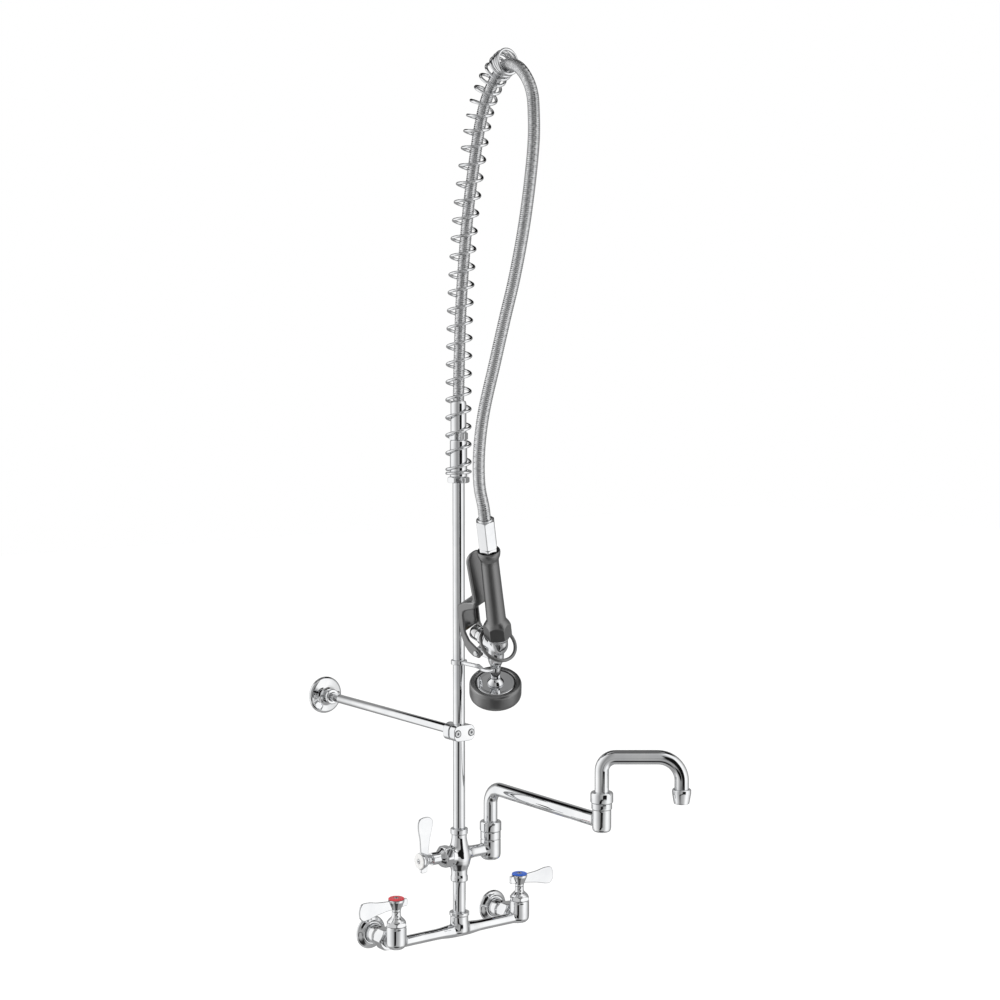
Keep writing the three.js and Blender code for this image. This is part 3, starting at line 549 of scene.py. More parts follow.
def casting(node, shape, low, high, cell, matrix):
    """Meshes a shape given by its signed distance, one quad for each crossed grid edge."""
    axes = [np.arange(a - cell, b + 2 * cell, cell) for a, b in zip(low, high)]
    counts = [len(axis) for axis in axes]
    grid = np.stack(np.meshgrid(*axes, indexing="ij"), axis=-1).reshape(-1, 3)
    value = shape(grid).reshape(counts)
    inside = value < 0
    cells = [n - 1 for n in counts]
    total = np.zeros(cells, np.int8)
    offsets = [(i, j, k) for i in (0, 1) for j in (0, 1) for k in (0, 1)]

    def shifted(array, offset):
        return array[tuple(slice(o, o + n) for o, n in zip(offset, cells))]

    for offset in offsets:
        total += shifted(inside, offset)
    crossed = (total > 0) & (total < 8)
    index = np.full(cells, -1)
    index[crossed] = np.arange(crossed.sum())
    spots = np.argwhere(crossed)
    sums = np.zeros((len(spots), 3))
    hits = np.zeros(len(spots))
    for start in offsets:
        for axis in range(3):
            if start[axis]:
                continue
            end = list(start)
            end[axis] = 1
            a = shifted(value, start)[crossed]
            b = shifted(value, end)[crossed]
            hit = (a < 0) != (b < 0)
            share = np.where(hit, a / np.where(hit, a - b, 1), 0)
            corner = np.tile(np.array(start, float), (len(spots), 1))
            corner[:, axis] += share
            sums[hit] += corner[hit]
            hits[hit] += 1
    origin = np.array([axis[0] for axis in axes])
    points = origin + cell * (spots + sums / hits[:, None])
    for _ in range(4):
        slope = gradient(shape, points)
        steep = np.maximum((slope ** 2).sum(axis=1), 0.25)
        push = (shape(points) / steep)[:, None] * slope
        points -= np.clip(push, -cell / 2, cell / 2)
    faces = []
    for axis in range(3):
        others = [other for other in range(3) if other != axis]
        ahead = [slice(None)] * 3
        ahead[axis] = slice(1, None)
        behind = [slice(None)] * 3
        behind[axis] = slice(None, -1)
        change = inside[tuple(behind)] != inside[tuple(ahead)]
        for at in np.argwhere(change):
            corner = []
            for du, dv in ((0, 0), (1, 0), (1, 1), (0, 1)):
                cell_at = at.copy()
                cell_at[others[0]] -= 1 - du
                cell_at[others[1]] -= 1 - dv
                corner.append(int(index[tuple(cell_at)]))
            flip = inside[tuple(at)] != (axis == 1)
            faces.append(tuple(corner) if flip else tuple(corner[::-1]))
    return piece_for(node, [tuple(p) for p in points], faces, matrix, sharp=None)


def soft(corners, edge, closed=False):
    """The same line with rounded corners, as plain pairs."""
    return [(float(p[0]), float(p[1])) for p in eased(corners, edge, closed)]


def strung(line, *radii):
    """A round wire along a line of points, its radius going evenly through the given ones."""
    line = np.asarray(line, float)
    reach = np.interp(np.linspace(0, 1, len(line)), np.linspace(0, 1, len(radii)), radii)

    def distance(p):
        best = np.full(len(p), 1e9)
        for a, b, ra, rb in zip(line, line[1:], reach, reach[1:]):
            ab = b - a
            t = np.clip((p - a) @ ab / (ab @ ab), 0, 1)
            gap = np.linalg.norm(p - a - t[:, None] * ab, axis=1) - ra - (rb - ra) * t
            best = np.minimum(best, gap)
        return best
    return distance


def along_x(shape, x=0.0, y=0.0, z=0.0):
    return moved(shape, Matrix.Translation((x, y, z)) @ AIM_X)


def along_y(shape, x=0.0, y=0.0, z=0.0):
    return moved(shape, Matrix.Translation((x, y, z)) @ AIM_Y)


def at(shape, x=0.0, y=0.0, z=0.0):
    return moved(shape, Matrix.Translation((x, y, z)))


# ---------------------------------------------------------------- mixing body and inlets
VALVE_X = COLD_X / MM
INLET_REACH = -RISER_Y / MM


def mixing_body():
    tower = soft([(0, -7.6), (8.6, -7.4), (13.2, -2.6), (13.4, 4), (13.4, 23.3), (0, 23.3)], 3.4)
    tower[-3:] = [(13.4, 22.7), (12.8, 23.3), (0, 23.3)]
    boss = soft([(0, -6.8), (9, -6.6), (13.4, -1.6), (13, 4), (12.1, 12), (12.1, 19.4)], 3.0)
    boss += [(12.2, 20.2), (13.1, 20.6), (13.4, 21), (13.4, 24.7), (13, 25.1), (0, 25.1)]
    bar = soft([(0, -VALVE_X), (7.4, -VALVE_X), (7.2, -78), (7.2, -32), (9, -16), (9, 16),
                (7.2, 32), (7.2, 78), (7.4, VALVE_X), (0, VALVE_X)], 8)
    arm = soft([(0, 0), (9.5, 0), (9.5, 30), (0, 30)], 0.5)
    shape = united(
        2.6,
        along_x(revolved(*bar)), revolved(*boss),
        at(revolved(*tower), -VALVE_X), at(revolved(*tower), VALVE_X),
        along_y(revolved(*arm), -VALVE_X), along_y(revolved(*arm), VALVE_X),
    )
    shape = carved(shape, 0.4, rod(8.8, 20, 40))
    casting("mixing_body", shape, (-116, -15, -10.5), (116, 31, 26), 0.8, place())


def inlet(side, name):
    matrix = place(side * VALVE_X, turn=AIM_Y)
    turned(f"{name}_coupling_nut", [
        (9.8, 17), (13.3, 17, 1), (15.2, 18.6, 1), (15.2, 32.6, 1), (13.5, 34, 1), (13, 34.2),
        (13, 36), (11, 38), (8.4, 38), (8.4, 33.3), (9.8, 33.3),
    ], matrix, flats=27, turn=pi / 6, sides=96, closed=True)
    turned(f"{name}_inlet_shank", [
        (6, 30.4), (9.4, 30.4), (9.4, 32.9), (8, 32.9), (8, 38.6), (10.5, 39.5), (12.5, 42),
        (12.5, INLET_REACH), (6, INLET_REACH),
    ], matrix, closed=True)
    front = INLET_REACH - 6
    turned(f"{name}_inlet_flange", [
        (12.8, front - 2), (15, front - 2), (16.5, front), (21, front + 2.2), (22.5, front + 4.4),
        (22.5, INLET_REACH), (12.8, INLET_REACH),
    ], matrix, sides=96, edge=1.2, closed=True)


# ---------------------------------------------------------------- lever valves
HUB_FACE = 60.4
BLADE_LENGTH = 58.5


def lever_shape():
    face, tip = HUB_FACE, BLADE_LENGTH
    hub = revolved(*soft([(0, 43.1), (5.9, 43.1), (6.3, 46.4), (10.8, face - 4.2), (10.8, face - 1.2),
                          (0, face - 1.2)], 0.8))
    blade = soft([
        (4, face - 14.5), (12, face - 14.6), (30, face - 17.5), (tip - 14, face - 21.4),
        (tip - 6, face - 22.3), (tip - 0.6, face - 17), (tip, face - 7), (tip - 3.4, face + 1.6),
        (tip - 16, face + 2), (30, face - 0.8), (12, face - 2), (4, face - 2.4),
    ], 5, closed=True)
    stub = soft([(-4, face - 12.6), (-16, face - 12), (-16.8, face - 7), (-16.2, face - 2.2),
                (-4, face - 2)], 1.6, closed=True)
    shape = united(1.6, hub, extruded(blade, 1.45, 1.1), extruded(stub, 2.2, 0.8))
    return carved(shape, 0.3, rod(10.7, face - 1.2, face + 5))


def lever_set(name, matrix):
    casting(f"{name}_lever", lever_shape(), (-19, -11.5, 36), (60, 11.5, 64), 0.55, matrix)
    turned(f"{name}_index_ring", [
        (3.5, HUB_FACE - 0.9), (10.5, HUB_FACE - 0.9), (10.5, HUB_FACE + 0.2), (9.6, HUB_FACE + 0.9),
        (3.5, HUB_FACE + 0.9),
    ], matrix, edge=0.6, closed=True)
    turned(f"{name}_lever_screw", [
        (0, 52.6), (1.8, 52.6), (1.8, HUB_FACE - 0.9), (3.2, HUB_FACE - 0.9), (3.2, HUB_FACE + 0.9),
        (2.7, HUB_FACE + 1.3), (1.5, HUB_FACE + 1.3, 1), (1.5, HUB_FACE - 0.5, 1), (0, HUB_FACE - 0.5),
    ], matrix, flats=2.6, sides=48, edge=0.25)


def deck_valve(x, turn, name):
    matrix = place(x, turn=Matrix.Rotation(turn, 4, "Z"))
    turned(f"{name}_bonnet_nut", [
        (3.3, 23.6), (12.6, 23.6, 1), (14.1, 24.6, 1), (14.1, 28, 1), (12.5, 29.2, 1), (12, 29.7),
        (11.5, 31), (9, 33.6), (6.5, 36), (5.9, 37.6), (5.9, 42.8), (3.3, 42.8),
    ], matrix, flats=25, turn=pi / 6, sides=96, edge=0.7, closed=True)
    lever_set(name, matrix)


def addon_valve():
    matrix = place(HUB_FACE - ADDON_HUB_FACE, z=TEE_AXIS, turn=Matrix.Rotation(-pi / 2, 4, "Y"))
    seat = 12.3
    turned("addon_bonnet_nut", [
        (3.3, seat), (13.5, seat, 1), (15.2, seat + 1.4, 1), (15.2, seat + 9.6, 1), (13.5, seat + 11, 1),
        (12.9, seat + 11.4), (11.6, seat + 13.4), (8.3, seat + 17, 1), (8.3, 41.2, 1), (6.2, 41.6),
        (6, 42.8), (3.3, 42.8),
    ], matrix, flats=27, sides=96, edge=0.7, closed=True)
    lever_set("addon", matrix)


# ---------------------------------------------------------------- add-on tee and spout
TEE_AXIS = 104.0
ADDON_HUB_FACE = 65.4
ARM_Z = 188.3
END_RUN_Z = 270.0
END_REACH = 100.5
END_HEADING = radians(-36.5)
END_BENDS = (17, 30)


def addon_body():
    trunk = soft([(0, 67), (11.6, 67), (11.6, 74), (10.7, 76), (11, 83), (14.3, 91), (16, 99), (15, 108),
                  (11.5, 119), (10.2, 126), (10.2, 131.4)], 2.2)
    trunk += [(10.5, 131.8), (11.4, 132), (11.7, 132.4), (11.7, 138.9), (11.3, 139.4), (0, 139.4)]
    socket = soft([(0, 89), (9, 89), (12.8, 91.6), (13.8, 96), (13.8, 110), (13.8, 116.2)], 2)
    socket += [(13.2, 116.6), (13.2, 117.4), (13.8, 117.8), (13.8, 127.6), (13.4, 128), (0, 128)]
    arm = soft([(0, 0), (12, 0), (10.5, 12), (8.4, 18), (8.1, 24), (8.1, 36), (9, 42), (9, SPOUT_X),
        (0, SPOUT_X)], 4)
    barrel = soft([(0, -17), (12.6, -17), (12.6, 0), (0, 0)], 0.6)
    shape = united(
        2.6, revolved(*trunk), at(revolved(*socket), SPOUT_X),
        along_x(revolved(*arm), z=TEE_AXIS), along_x(revolved(*barrel), z=TEE_AXIS),
    )
    shape = carved(shape, 0.3, rod(8.8, 60, 79), rod(8.2, 127, 150), at(rod(9.5, 98, 140), SPOUT_X))
    casting("addon_body", shape, (-18, -17, 66), (67, 17, 140.4), 0.75, place())


def spout():
    turned("spout_nut", [
        (9.6, 128.3), (14, 128.3), (14.7, 129.2), (14.7, 140), (13.4, 141.9), (9.6, 141.9),
    ], place(SPOUT_X), edge=0.7, closed=True)

    # The long arm: its tube and the cup at its end are one brazed piece.
    cup = soft([(0, 174.6), (7, 174.6), (11, 176.2), (12, 180), (12, 203.4)], 2.4)
    cup += [(12.3, 204), (12.9, 204.6), (13, 205), (13, 211.6), (12.4, 212.2), (0, 212.2)]
    foot = 98.3
    run = bent_line([(SPOUT_X, 0, foot - 4), (SPOUT_X, 0, ARM_Z), (SPOUT_X, ARM_END_Y, ARM_Z)], 22)
    shape = united(2.4, strung(run, 9.3), at(revolved(*cup), SPOUT_X, ARM_END_Y))
    below = lambda p: p[:, 2] - foot
    shape = carved(shape, 0.3, below, at(rod(9.3, 191, 220), SPOUT_X, ARM_END_Y))
    low = (SPOUT_X - 14, ARM_END_Y - 14, foot - 1)
    casting("spout_arm", shape, low, (SPOUT_X + 14, 10, 213), 0.9, place())

    turned("spout_end_nut", [
        (9.3, 212.5), (13.8, 212.5), (14.4, 213.4), (14.4, 224), (13.2, 226), (9.3, 226),
    ], place(SPOUT_X, ARM_END_Y), edge=0.7, closed=True)


def spout_end():
    out_x = SPOUT_X + END_REACH * cos(END_HEADING)
    out_y = ARM_END_Y + END_REACH * sin(END_HEADING)
    run = bent_line([(SPOUT_X, ARM_END_Y, 191.4), (SPOUT_X, ARM_END_Y, END_RUN_Z),
                     (out_x, out_y, END_RUN_Z), (out_x, out_y, 223.6)], *END_BENDS, steps=20)
    tube("spout_end", run, 9.0, place(), sides=64)
    outlet = place(out_x, out_y)
    turned("aerator_housing", [
        (9.3, 223), (7.4, 223), (7.4, 217.4), (8, 217.4), (8, 211), (9.6, 211), (10.2, 214),
        (12, 224), (12, 228.2), (11.2, 229.6), (9.3, 229.6),
    ], outlet, closed=True)
    screen = rod(7.7, 213.2, 215.2)
    holes = [at(rod(0.55, 200, 230), reach * cos(2 * pi * i / count), reach * sin(2 * pi * i / count))
             for reach, count in ((0, 1), (2.1, 6), (4.2, 12), (6.2, 18)) for i in range(count)]
    casting("aerator_screen", carved(screen, 0.15, *holes), (-8, -8, 212.8), (8, 8, 215.6), 0.3, outlet)


# ---------------------------------------------------------------- riser and its fittings
RISER_R = 8.0


def riser():
    turned("lower_nipple", [(5.9, 12.4), (8.6, 12.4), (8.6, 79), (5.9, 79)], place(), closed=True)
    turned("riser_pipe", [(5.9, 127.2), (RISER_R, 127.2), (RISER_R, 624), (5.9, 624)], place(), closed=True)
    turned("riser_top_nut", [
        (8.3, 604.7), (13, 604.7, 1), (14.6, 605.8, 1), (14.6, 611.4, 1), (13, 612.6, 1), (8.3, 612.6),
    ], place(), flats=26, sides=96, closed=True)
    turned("hose_adapter", [
        (8.3, 612.9), (11, 612.9), (11.4, 613.6), (11.4, 659.8), (10.6, 661.4), (5, 661.4), (5, 626),
        (8.3, 626),
    ], place(), closed=True)
    turned("hose_ferrule_top", [
        (5, 661.7), (11.2, 661.7, 1), (12.6, 662.6, 1), (12.6, 670.4, 1), (11.2, 671.4, 1), (10.5, 671.6),
        (10.5, 709.6), (9.6, 713), (5, 713),
    ], place(), flats=22.4, sides=96, closed=True)


CLAMP_Z = 270.5
CLAMP_SCREW_X = 10.9
BRACKET_REACH = 345.0
BRACKET_SCREW_X = 18.5


def clamp_jaw(front, back):
    outline = soft([(-17, -5), (-14.6, -9), (-10.9, -10.8), (10.9, -10.8), (14.6, -9), (17, -5),
                    (17, 5), (14.6, 9), (10.9, 10.8), (-10.9, 10.8), (-14.6, 9), (-17, 5)], 2.5, closed=True)
    jaw = extruded(outline, (back - front) / 2, 1.1, centre=(front + back) / 2)
    return jaw


def wall_bracket():
    at_clamp = place(z=CLAMP_Z)
    saddle = rod(RISER_R + 0.3, -30, 30)
    heads = [along_y(rod(4.9, -30, -9.6), side * CLAMP_SCREW_X) for side in (-1, 1)]
    casting("bracket_clamp_front", carved(clamp_jaw(-13, -1), 0.5, saddle, *heads),
            (-18, -14, -12), (18, 0, 12), 0.55, at_clamp)
    neck = along_y(revolved(*soft([(0, 8), (10.6, 8), (10.6, 22.4), (0, 22.4)], 1.2)))
    rear = carved(united(1.6, clamp_jaw(1, 14), neck), 0.5, saddle, along_y(rod(6.6, 10.4, 30)))
    casting("bracket_clamp_rear", rear, (-18, 0, -12), (18, 23, 12), 0.55, at_clamp)
    for side, name in ((-1, "left"), (1, "right")):
        turned(f"clamp_screw_{name}", [
            (0, -11.4), (2.2, -11.4, 1), (2.2, -13.6, 1), (3.8, -13.7), (4.4, -13.1), (4.4, -9.9),
            (2.8, -9.9), (2.8, 9.2), (0, 9.2),
        ], place(side * CLAMP_SCREW_X, z=CLAMP_Z, turn=AIM_Y), flats=3.6, sides=48, edge=0.25)
    aim = place(z=CLAMP_Z, turn=AIM_Y)
    back = BRACKET_REACH
    turned("bracket_rod", [(0, 10.8), (6.35, 10.8), (6.35, back - 0.8), (0, back - 0.8)], aim)
    plate = revolved(*soft([(0, back - 24), (10.4, back - 24), (11.2, back - 22.6), (11.2, back - 9),
                            (15, back - 7.4), (24.6, back - 5.6), (27, back - 3.4), (27, back),
                            (0, back)], 1.2))
    holes = [at(rod(2.6, back - 30, back + 5), side * BRACKET_SCREW_X) for side in (-1, 1)]
    flange = carved(plate, 0.4, rod(6.6, back - 40, back + 5), *holes)
    casting("bracket_flange", flange, (-28, -28, back - 25), (28, 28, back + 1), 0.7, aim)
    for side, name in ((-1, "left"), (1, "right")):
        turned(f"bracket_flange_screw_{name}", [
            (0, back - 9.6), (1.3, back - 9.6, 1), (1.3, back - 10.5, 1), (2.4, back - 10.3),
            (4.4, back - 7.8), (2.3, back - 7.8), (2.3, back), (0, back),
        ], aim @ Matrix.Translation((side * BRACKET_SCREW_X, 0, 0)), flats=2.4, sides=48, edge=0.3)


HOOK_Z = 364.8
HOOK_REACH = 10.9


def spray_hook():
    clip = revolved(*soft([(8.3, -3), (10.8, -3), (10.8, 3), (8.3, 3)], 0.8, closed=True))
    stem = strung([(0, -10, 0), (0, -45, 0)], 2.8)
    route = [(0, -43, 0), (-3.6, -54, 0), (-HOOK_REACH, -68, 0), (-HOOK_REACH - 0.5, -84, 0.4),
             (-HOOK_REACH - 2, -95, 3)]
    finger = strung(smooth_line(route, 2.5), 2.8, 2.8, 2.8, 2.0)
    shape = united(1.6, clip, stem, finger)
    shape = carved(shape, 0.3, rod(8.3, -10, 10))
    casting("spray_hook", shape, (-17, -99, -4), (17, 12, 7), 0.5, place(z=HOOK_Z))


# ---------------------------------------------------------------- hose and overhead spring
HOSE_R = 7.6
HOSE_ROUTE = [
    (0, 0, 713.3), (0, -2, 765), (0, -6, 835), (0, -14, 905), (0, -25, 973), (0, -38, 1028),
    (0, -48, 1065), (0, -62, 1098), (0, -83, 1124), (0, -106, 1138.5), (0, -129, 1134), (-2, -151, 1117),
    (-5, -166, 1096), (-8, -173, 1070), (-11, -177, 1040), (-18, -179, 990), (-28, -178.5, 928),
    (-39.5, -174, 865), (-48.5, -169, 822), (-61, -164.5, 766), (-74, -157.5, 700), (-79.5, -156, 651),
    (-80, -158, 612), (-76, -160.3, 588),
]
HOSE_SIDES = 24
LEAVES_SPRING = 0.45
JOINS_VALVE = 0.93
SPRING_ROUTE = [
    (0, 0, 613.6), (0, 0, 700), (0, -1.5, 765), (0, -4.5, 835), (0, -10.5, 905), (0, -20.5, 973),
    (0, -33.5, 1028), (0, -43.5, 1066), (0, -58, 1101), (0, -80, 1127.5), (0, -104, 1141.5),
    (0, -113, 1142.5),
]
SPRING_R = 15.6
SPRING_WIRE_R = 1.95


def hose():
    axes = valve_axes()
    ends = [tuple(axes @ Vector((0, 0, HANDLE_END + up))) for up in (9, 0.3)]
    line = smooth_line(HOSE_ROUTE + ends, 0.45)
    rib = 2.4

    def ribs(run, angle):
        return 0.62 * np.abs(np.sin(pi * run / rib + angle / 2)) - 0.55

    piece = tube("hose", line, HOSE_R, place(), sides=HOSE_SIDES, relief=ribs, rides=False)
    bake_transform(piece)
    # A share that is 0 inside the spring and grows along the hose towards the valve is computed here but not
    # applied to the mesh.
    along = np.linspace(0, 1, len(line))
    share = np.clip((along - LEAVES_SPRING) / (JOINS_VALVE - LEAVES_SPRING), 0, 1)
    share = np.repeat(share * share * (3 - 2 * share), HOSE_SIDES)


def overhead_spring():
    spine = smooth_line(SPRING_ROUTE, 0.5)
    run = np.concatenate([[0], np.cumsum(np.linalg.norm(np.diff(spine, axis=0), axis=1))])
    ahead = np.gradient(spine, axis=0)
    ahead /= np.linalg.norm(ahead, axis=1)[:, None]
    length = run[-1]
    across = np.array((1.0, 0.0, 0.0))
    open_pitch = 23.4
    top_pitch = 12.0
    tightening_run = 150.0
    closed_pitch = 2 * SPRING_WIRE_R + 0.5
    closed_top = 2.4
    step = 1 / 40
    turns, along, wire = 0.0, 2.0, []
    while along < length - 2:
        point = np.array([np.interp(along, run, spine[:, i]) for i in range(3)])
        forward = np.array([np.interp(along, run, ahead[:, i]) for i in range(3)])
        out = np.cross(forward, across)
        wire.append(point + SPRING_R * (cos(2 * pi * turns) * across + sin(2 * pi * turns) * out))
        left = (length - 2 - along) / closed_pitch
        rise = 0 if turns < 1.2 else (turns - 1.2) * 2
        easing = min(1, rise, max(0, (left - closed_top) / 4))
        opened = min(1, (length - 2 - along) / tightening_run)
        pitch = top_pitch + (open_pitch - top_pitch) * opened
        along += (closed_pitch + (pitch - closed_pitch) * easing) * step
        turns += step
    tube("overhead_spring", wire, SPRING_WIRE_R, place(), sides=14)


# ---------------------------------------------------------------- spray valve
GRIP_TURN = radians(-140)
FERRULE_TURN = GRIP_TURN + pi / 6
NECK_R = 6.7
PLATE_R = 25.7
BUMPER_R = 34.3
LEVER_HALF = 16.2
LEVER_INNER = 13.0


def spray_handle():
    turned("spray_hose_ferrule", [
        (0, 141.3), (11.8, 141.3, 1), (12.6, 142, 1), (12.6, 178.8, 1), (11.2, 180, 1), (9.6, 180.2),
        (9.6, 181.6), (9.2, 182), (0, 182),
    ], IN_VALVE, flats=22, turn=FERRULE_TURN, sides=96)
    turned("spray_swivel_nut", [
        (4, 134.4), (7.3, 134.4), (7.3, 131.6), (12, 131.6, 1), (12, 139.8, 1), (10.7, 141, 1), (4, 141),
    ], IN_VALVE, flats=21.4, turn=FERRULE_TURN, sides=96, closed=True)
    turned("handle_grip", [
        (7.3, 8), (17, 8, 1), (18.1, 9, 1), (18.1, 24.6, 1), (15.6, 28, 1), (13.4, 31.6, 0.4), (12.6, 34),
        (12.2, 60), (11.8, 90), (11.5, 119), (12, 123.4), (14, 128), (14.8, 132), (14.8, 134.4), (14.2, 136),
        (12.9, 136), (12.9, 131.2), (7.3, 131.2),
    ], IN_VALVE, flats=31.5, turn=GRIP_TURN, sides=144, edge=0.7, closed=True)


def spray_body():
    funnel = revolved(*soft([(0, -18), (5, -16.6), (9.5, -11), (11.6, -4), (12.4, 3), (14.6, 5.4),
                           (14.6, 7.7), (0, 7.7)], 1.5))
    barrel = revolved(*soft([(0, -9), (8.6, -8.4), (11.1, -3), (11.3, 3), (11.3, 20), (0, 20)], 2))
    lower = revolved(*soft([(0, -18.7), (11, -18.7), (11, -17.4), (8.2, -13), (NECK_R, -9), (NECK_R, 10.5),
                            (9.4, 16.5), (11, 25), (11, 41), (8, 46.5), (0, 48.5)], 1.6))
    lug = rod(6.2, -12.5, 12.5)
    bridge = extruded([(PIVOT_Y - 18, PIVOT_Z - 4.4), (PIVOT_Y, PIVOT_Z - 4.4), (PIVOT_Y, PIVOT_Z + 4),
                       (PIVOT_Y - 18, PIVOT_Z + 4)], 12.5, 1.5, normal=0)
    on_bonnet = Matrix.Translation((0, 0, -BONNET_DROP)) @ Matrix.Rotation(BONNET_TILT - pi / 2, 4, "X")
    on_head = Matrix.Translation((0, HEAD_Y, HEAD_Z)) @ Matrix.Rotation(HEAD_TILT, 4, "X")
    shape = united(1.6, funnel, moved(barrel, on_bonnet), moved(lower, on_head), bridge,
                   along_x(lug, y=PIVOT_Y, z=PIVOT_Z))
    above = lambda p: 7.7 - p[:, 2]
    shape = carved(shape, 0.4, above)
    casting("spray_body", shape, (-16, -15, -74), (16, 36, 9), 0.65, IN_VALVE)


def spray_bonnet():
    turned("spray_bonnet", [
        (3.2, 20.3), (10.4, 20.3, 1), (11.8, 21.4, 1), (11.8, 27.6, 1), (10.9, 28.8, 1), (10, 29.4),
        (9.9, 33.6), (9.4, 34), (9.4, 34.6), (9.9, 35), (9.9, 42), (8.8, 44), (6, 45.2), (3.2, 45.2),
    ], ON_BONNET, flats=21, turn=pi / 6, sides=96, closed=True)
    turned("spray_plunger", [
        (0, 10), (6.4, 10), (6.4, 11.4), (2.9, 12), (2.9, 47.4), (2, 48.2), (0, 48.2),
    ], ON_BONNET, sides=48, edge=0.4)


def squeeze_lever():
    side = soft([(29.8, 121), (28.8, 125), (27, 126.6), (25, 125), (24.2, 119), (20.5, 62), (20.5, 52),
                 (23, 48.4), (38, 41), (42, 38), (43.6, 32), (43.6, 6), (38, -5), (26, -12.6),
                 (21.2, -17), (20.6, -23), (24, -27.4), (34, -27.4), (41, -23.5), (47, -16), (52.6, 2),
                 (53, 38), (52.4, 44.4), (40, 53), (28, 57.6), (26.2, 62)], 1.6, closed=True)
    top = [(13.6 * cos(i * pi / 12), 113 + 13.6 * sin(i * pi / 12)) for i in range(13)]
    front = [(-40, -40), (40, -40), (40, 44), (13.2, 58), (13.6, 100)] + top + [(-13.6, 100),
        (-13.2, 58), (-40, 44)]
    whole = extruded(side, LEVER_HALF, 2.0, normal=0)
    plan = extruded(front, 90, 1.8, normal=1, centre=35)
    lower_gap = extruded([(0, -40), (60, -40), (60, 3), (0, 3)], LEVER_INNER, 0.4, normal=0)
    upper_gap = extruded([(0, -40), (48.6, -40), (48.6, 33), (40, 38), (14, 45), (0, 50)], LEVER_INNER,
        0.4, normal=0)
    shape = carved(whole, 2.2, lambda p: -plan(p))
    shape = carved(shape, 0.9, lower_gap, upper_gap, along_x(rod(2.5, -20, 20), y=PIVOT_Y, z=PIVOT_Z))
    casting("squeeze_lever", shape, (-17.5, 19, -29), (17.5, 55, 128), 0.8, IN_VALVE)
    head = LEVER_HALF + 0.3
    turned("lever_pivot_screw", [
        (0, -head - 1.6), (3.2, -head - 1.6), (4, -head - 0.8), (4, -head), (2.2, -head), (2.2, head),
        (4, head), (4, head + 0.8), (3.2, head + 1.6), (1.7, head + 1.6, 1), (1.7, head - 0.4, 1),
        (0, head - 0.4),
    ], AT_PIVOT, flats=3.0, sides=48, edge=0.3)


def spray_head():
    turned("spray_head_plate", [
        (0, -19), (20, -19), (24.4, -18.5), (PLATE_R, -19.4), (PLATE_R, -22.6), (4, -22.6), (4, -21),
        (0, -21),
    ], ON_HEAD, sides=96, edge=0.7)
    turned("spray_bumper", [
        (26.4, -17.6), (29, -16.6), (32.6, -17.4), (34.3, -20.4), (BUMPER_R, -36), (33.4, -39.6),
        (31, -41.4), (27.6, -41.4), (26.4, -40),
    ], ON_HEAD, sides=96, edge=2.2, closed=True)
    cup = revolved((0, -39.4), (24, -39.4), (PLATE_R, -38.4), (PLATE_R, -22.9), (24, -22.9),
        (24, -36.4), (0, -36.4))
    holes = [rod(2.5, -60, -20)]
    for reach, count in ((8.5, 8), (13.5, 12), (18.5, 16)):
        for i in range(count):
            angle = 2 * pi * i / count
            holes.append(at(rod(1.0, -60, -20), reach * cos(angle), reach * sin(angle)))
    casting("spray_face", carved(cup, 0.3, *holes), (-26.5, -26.5, -40), (26.5, 26.5, -22), 0.55, ON_HEAD)
    turned("spray_face_screw", [
        (0, -41.2), (1.5, -41.2, 1), (1.5, -42.2, 1), (3.4, -42), (4.4, -40.6), (4.4, -39.7), (2.2, -39.7),
        (2.2, -24), (0, -24),
    ], ON_HEAD, flats=2.6, sides=48, edge=0.3)


def hold_ring():
    centre = Vector((-11.4, -103.3, 403.3))
    normal = Vector((-0.111, -0.811, 0.574)).normalized()
    right = Vector((0, 0, 1)).cross(normal).normalized()
    up = normal.cross(right)
    columns = Matrix((right, up, normal)).transposed().to_4x4()
    section = [(24.2 + 2.3 * cos(i * pi / 9), 2.3 * sin(i * pi / 9)) for i in range(18)]
    turned("hold_ring", section, place() @ Matrix.Translation(centre) @ columns, edge=0, closed=True)


# ---------------------------------------------------------------- floor and light
DOME_R = 2.4
DOME_Z = 0.35
FLOOR_Z = -1.05
WHITE_WORLD = 1.0


def feathered(value, edge, width):
    """0 below the edge, 1 above it, with a soft change of the given width."""
    t = np.clip((value - edge) / width + 0.5, 0, 1)
    return t * t * (3 - 2 * t)


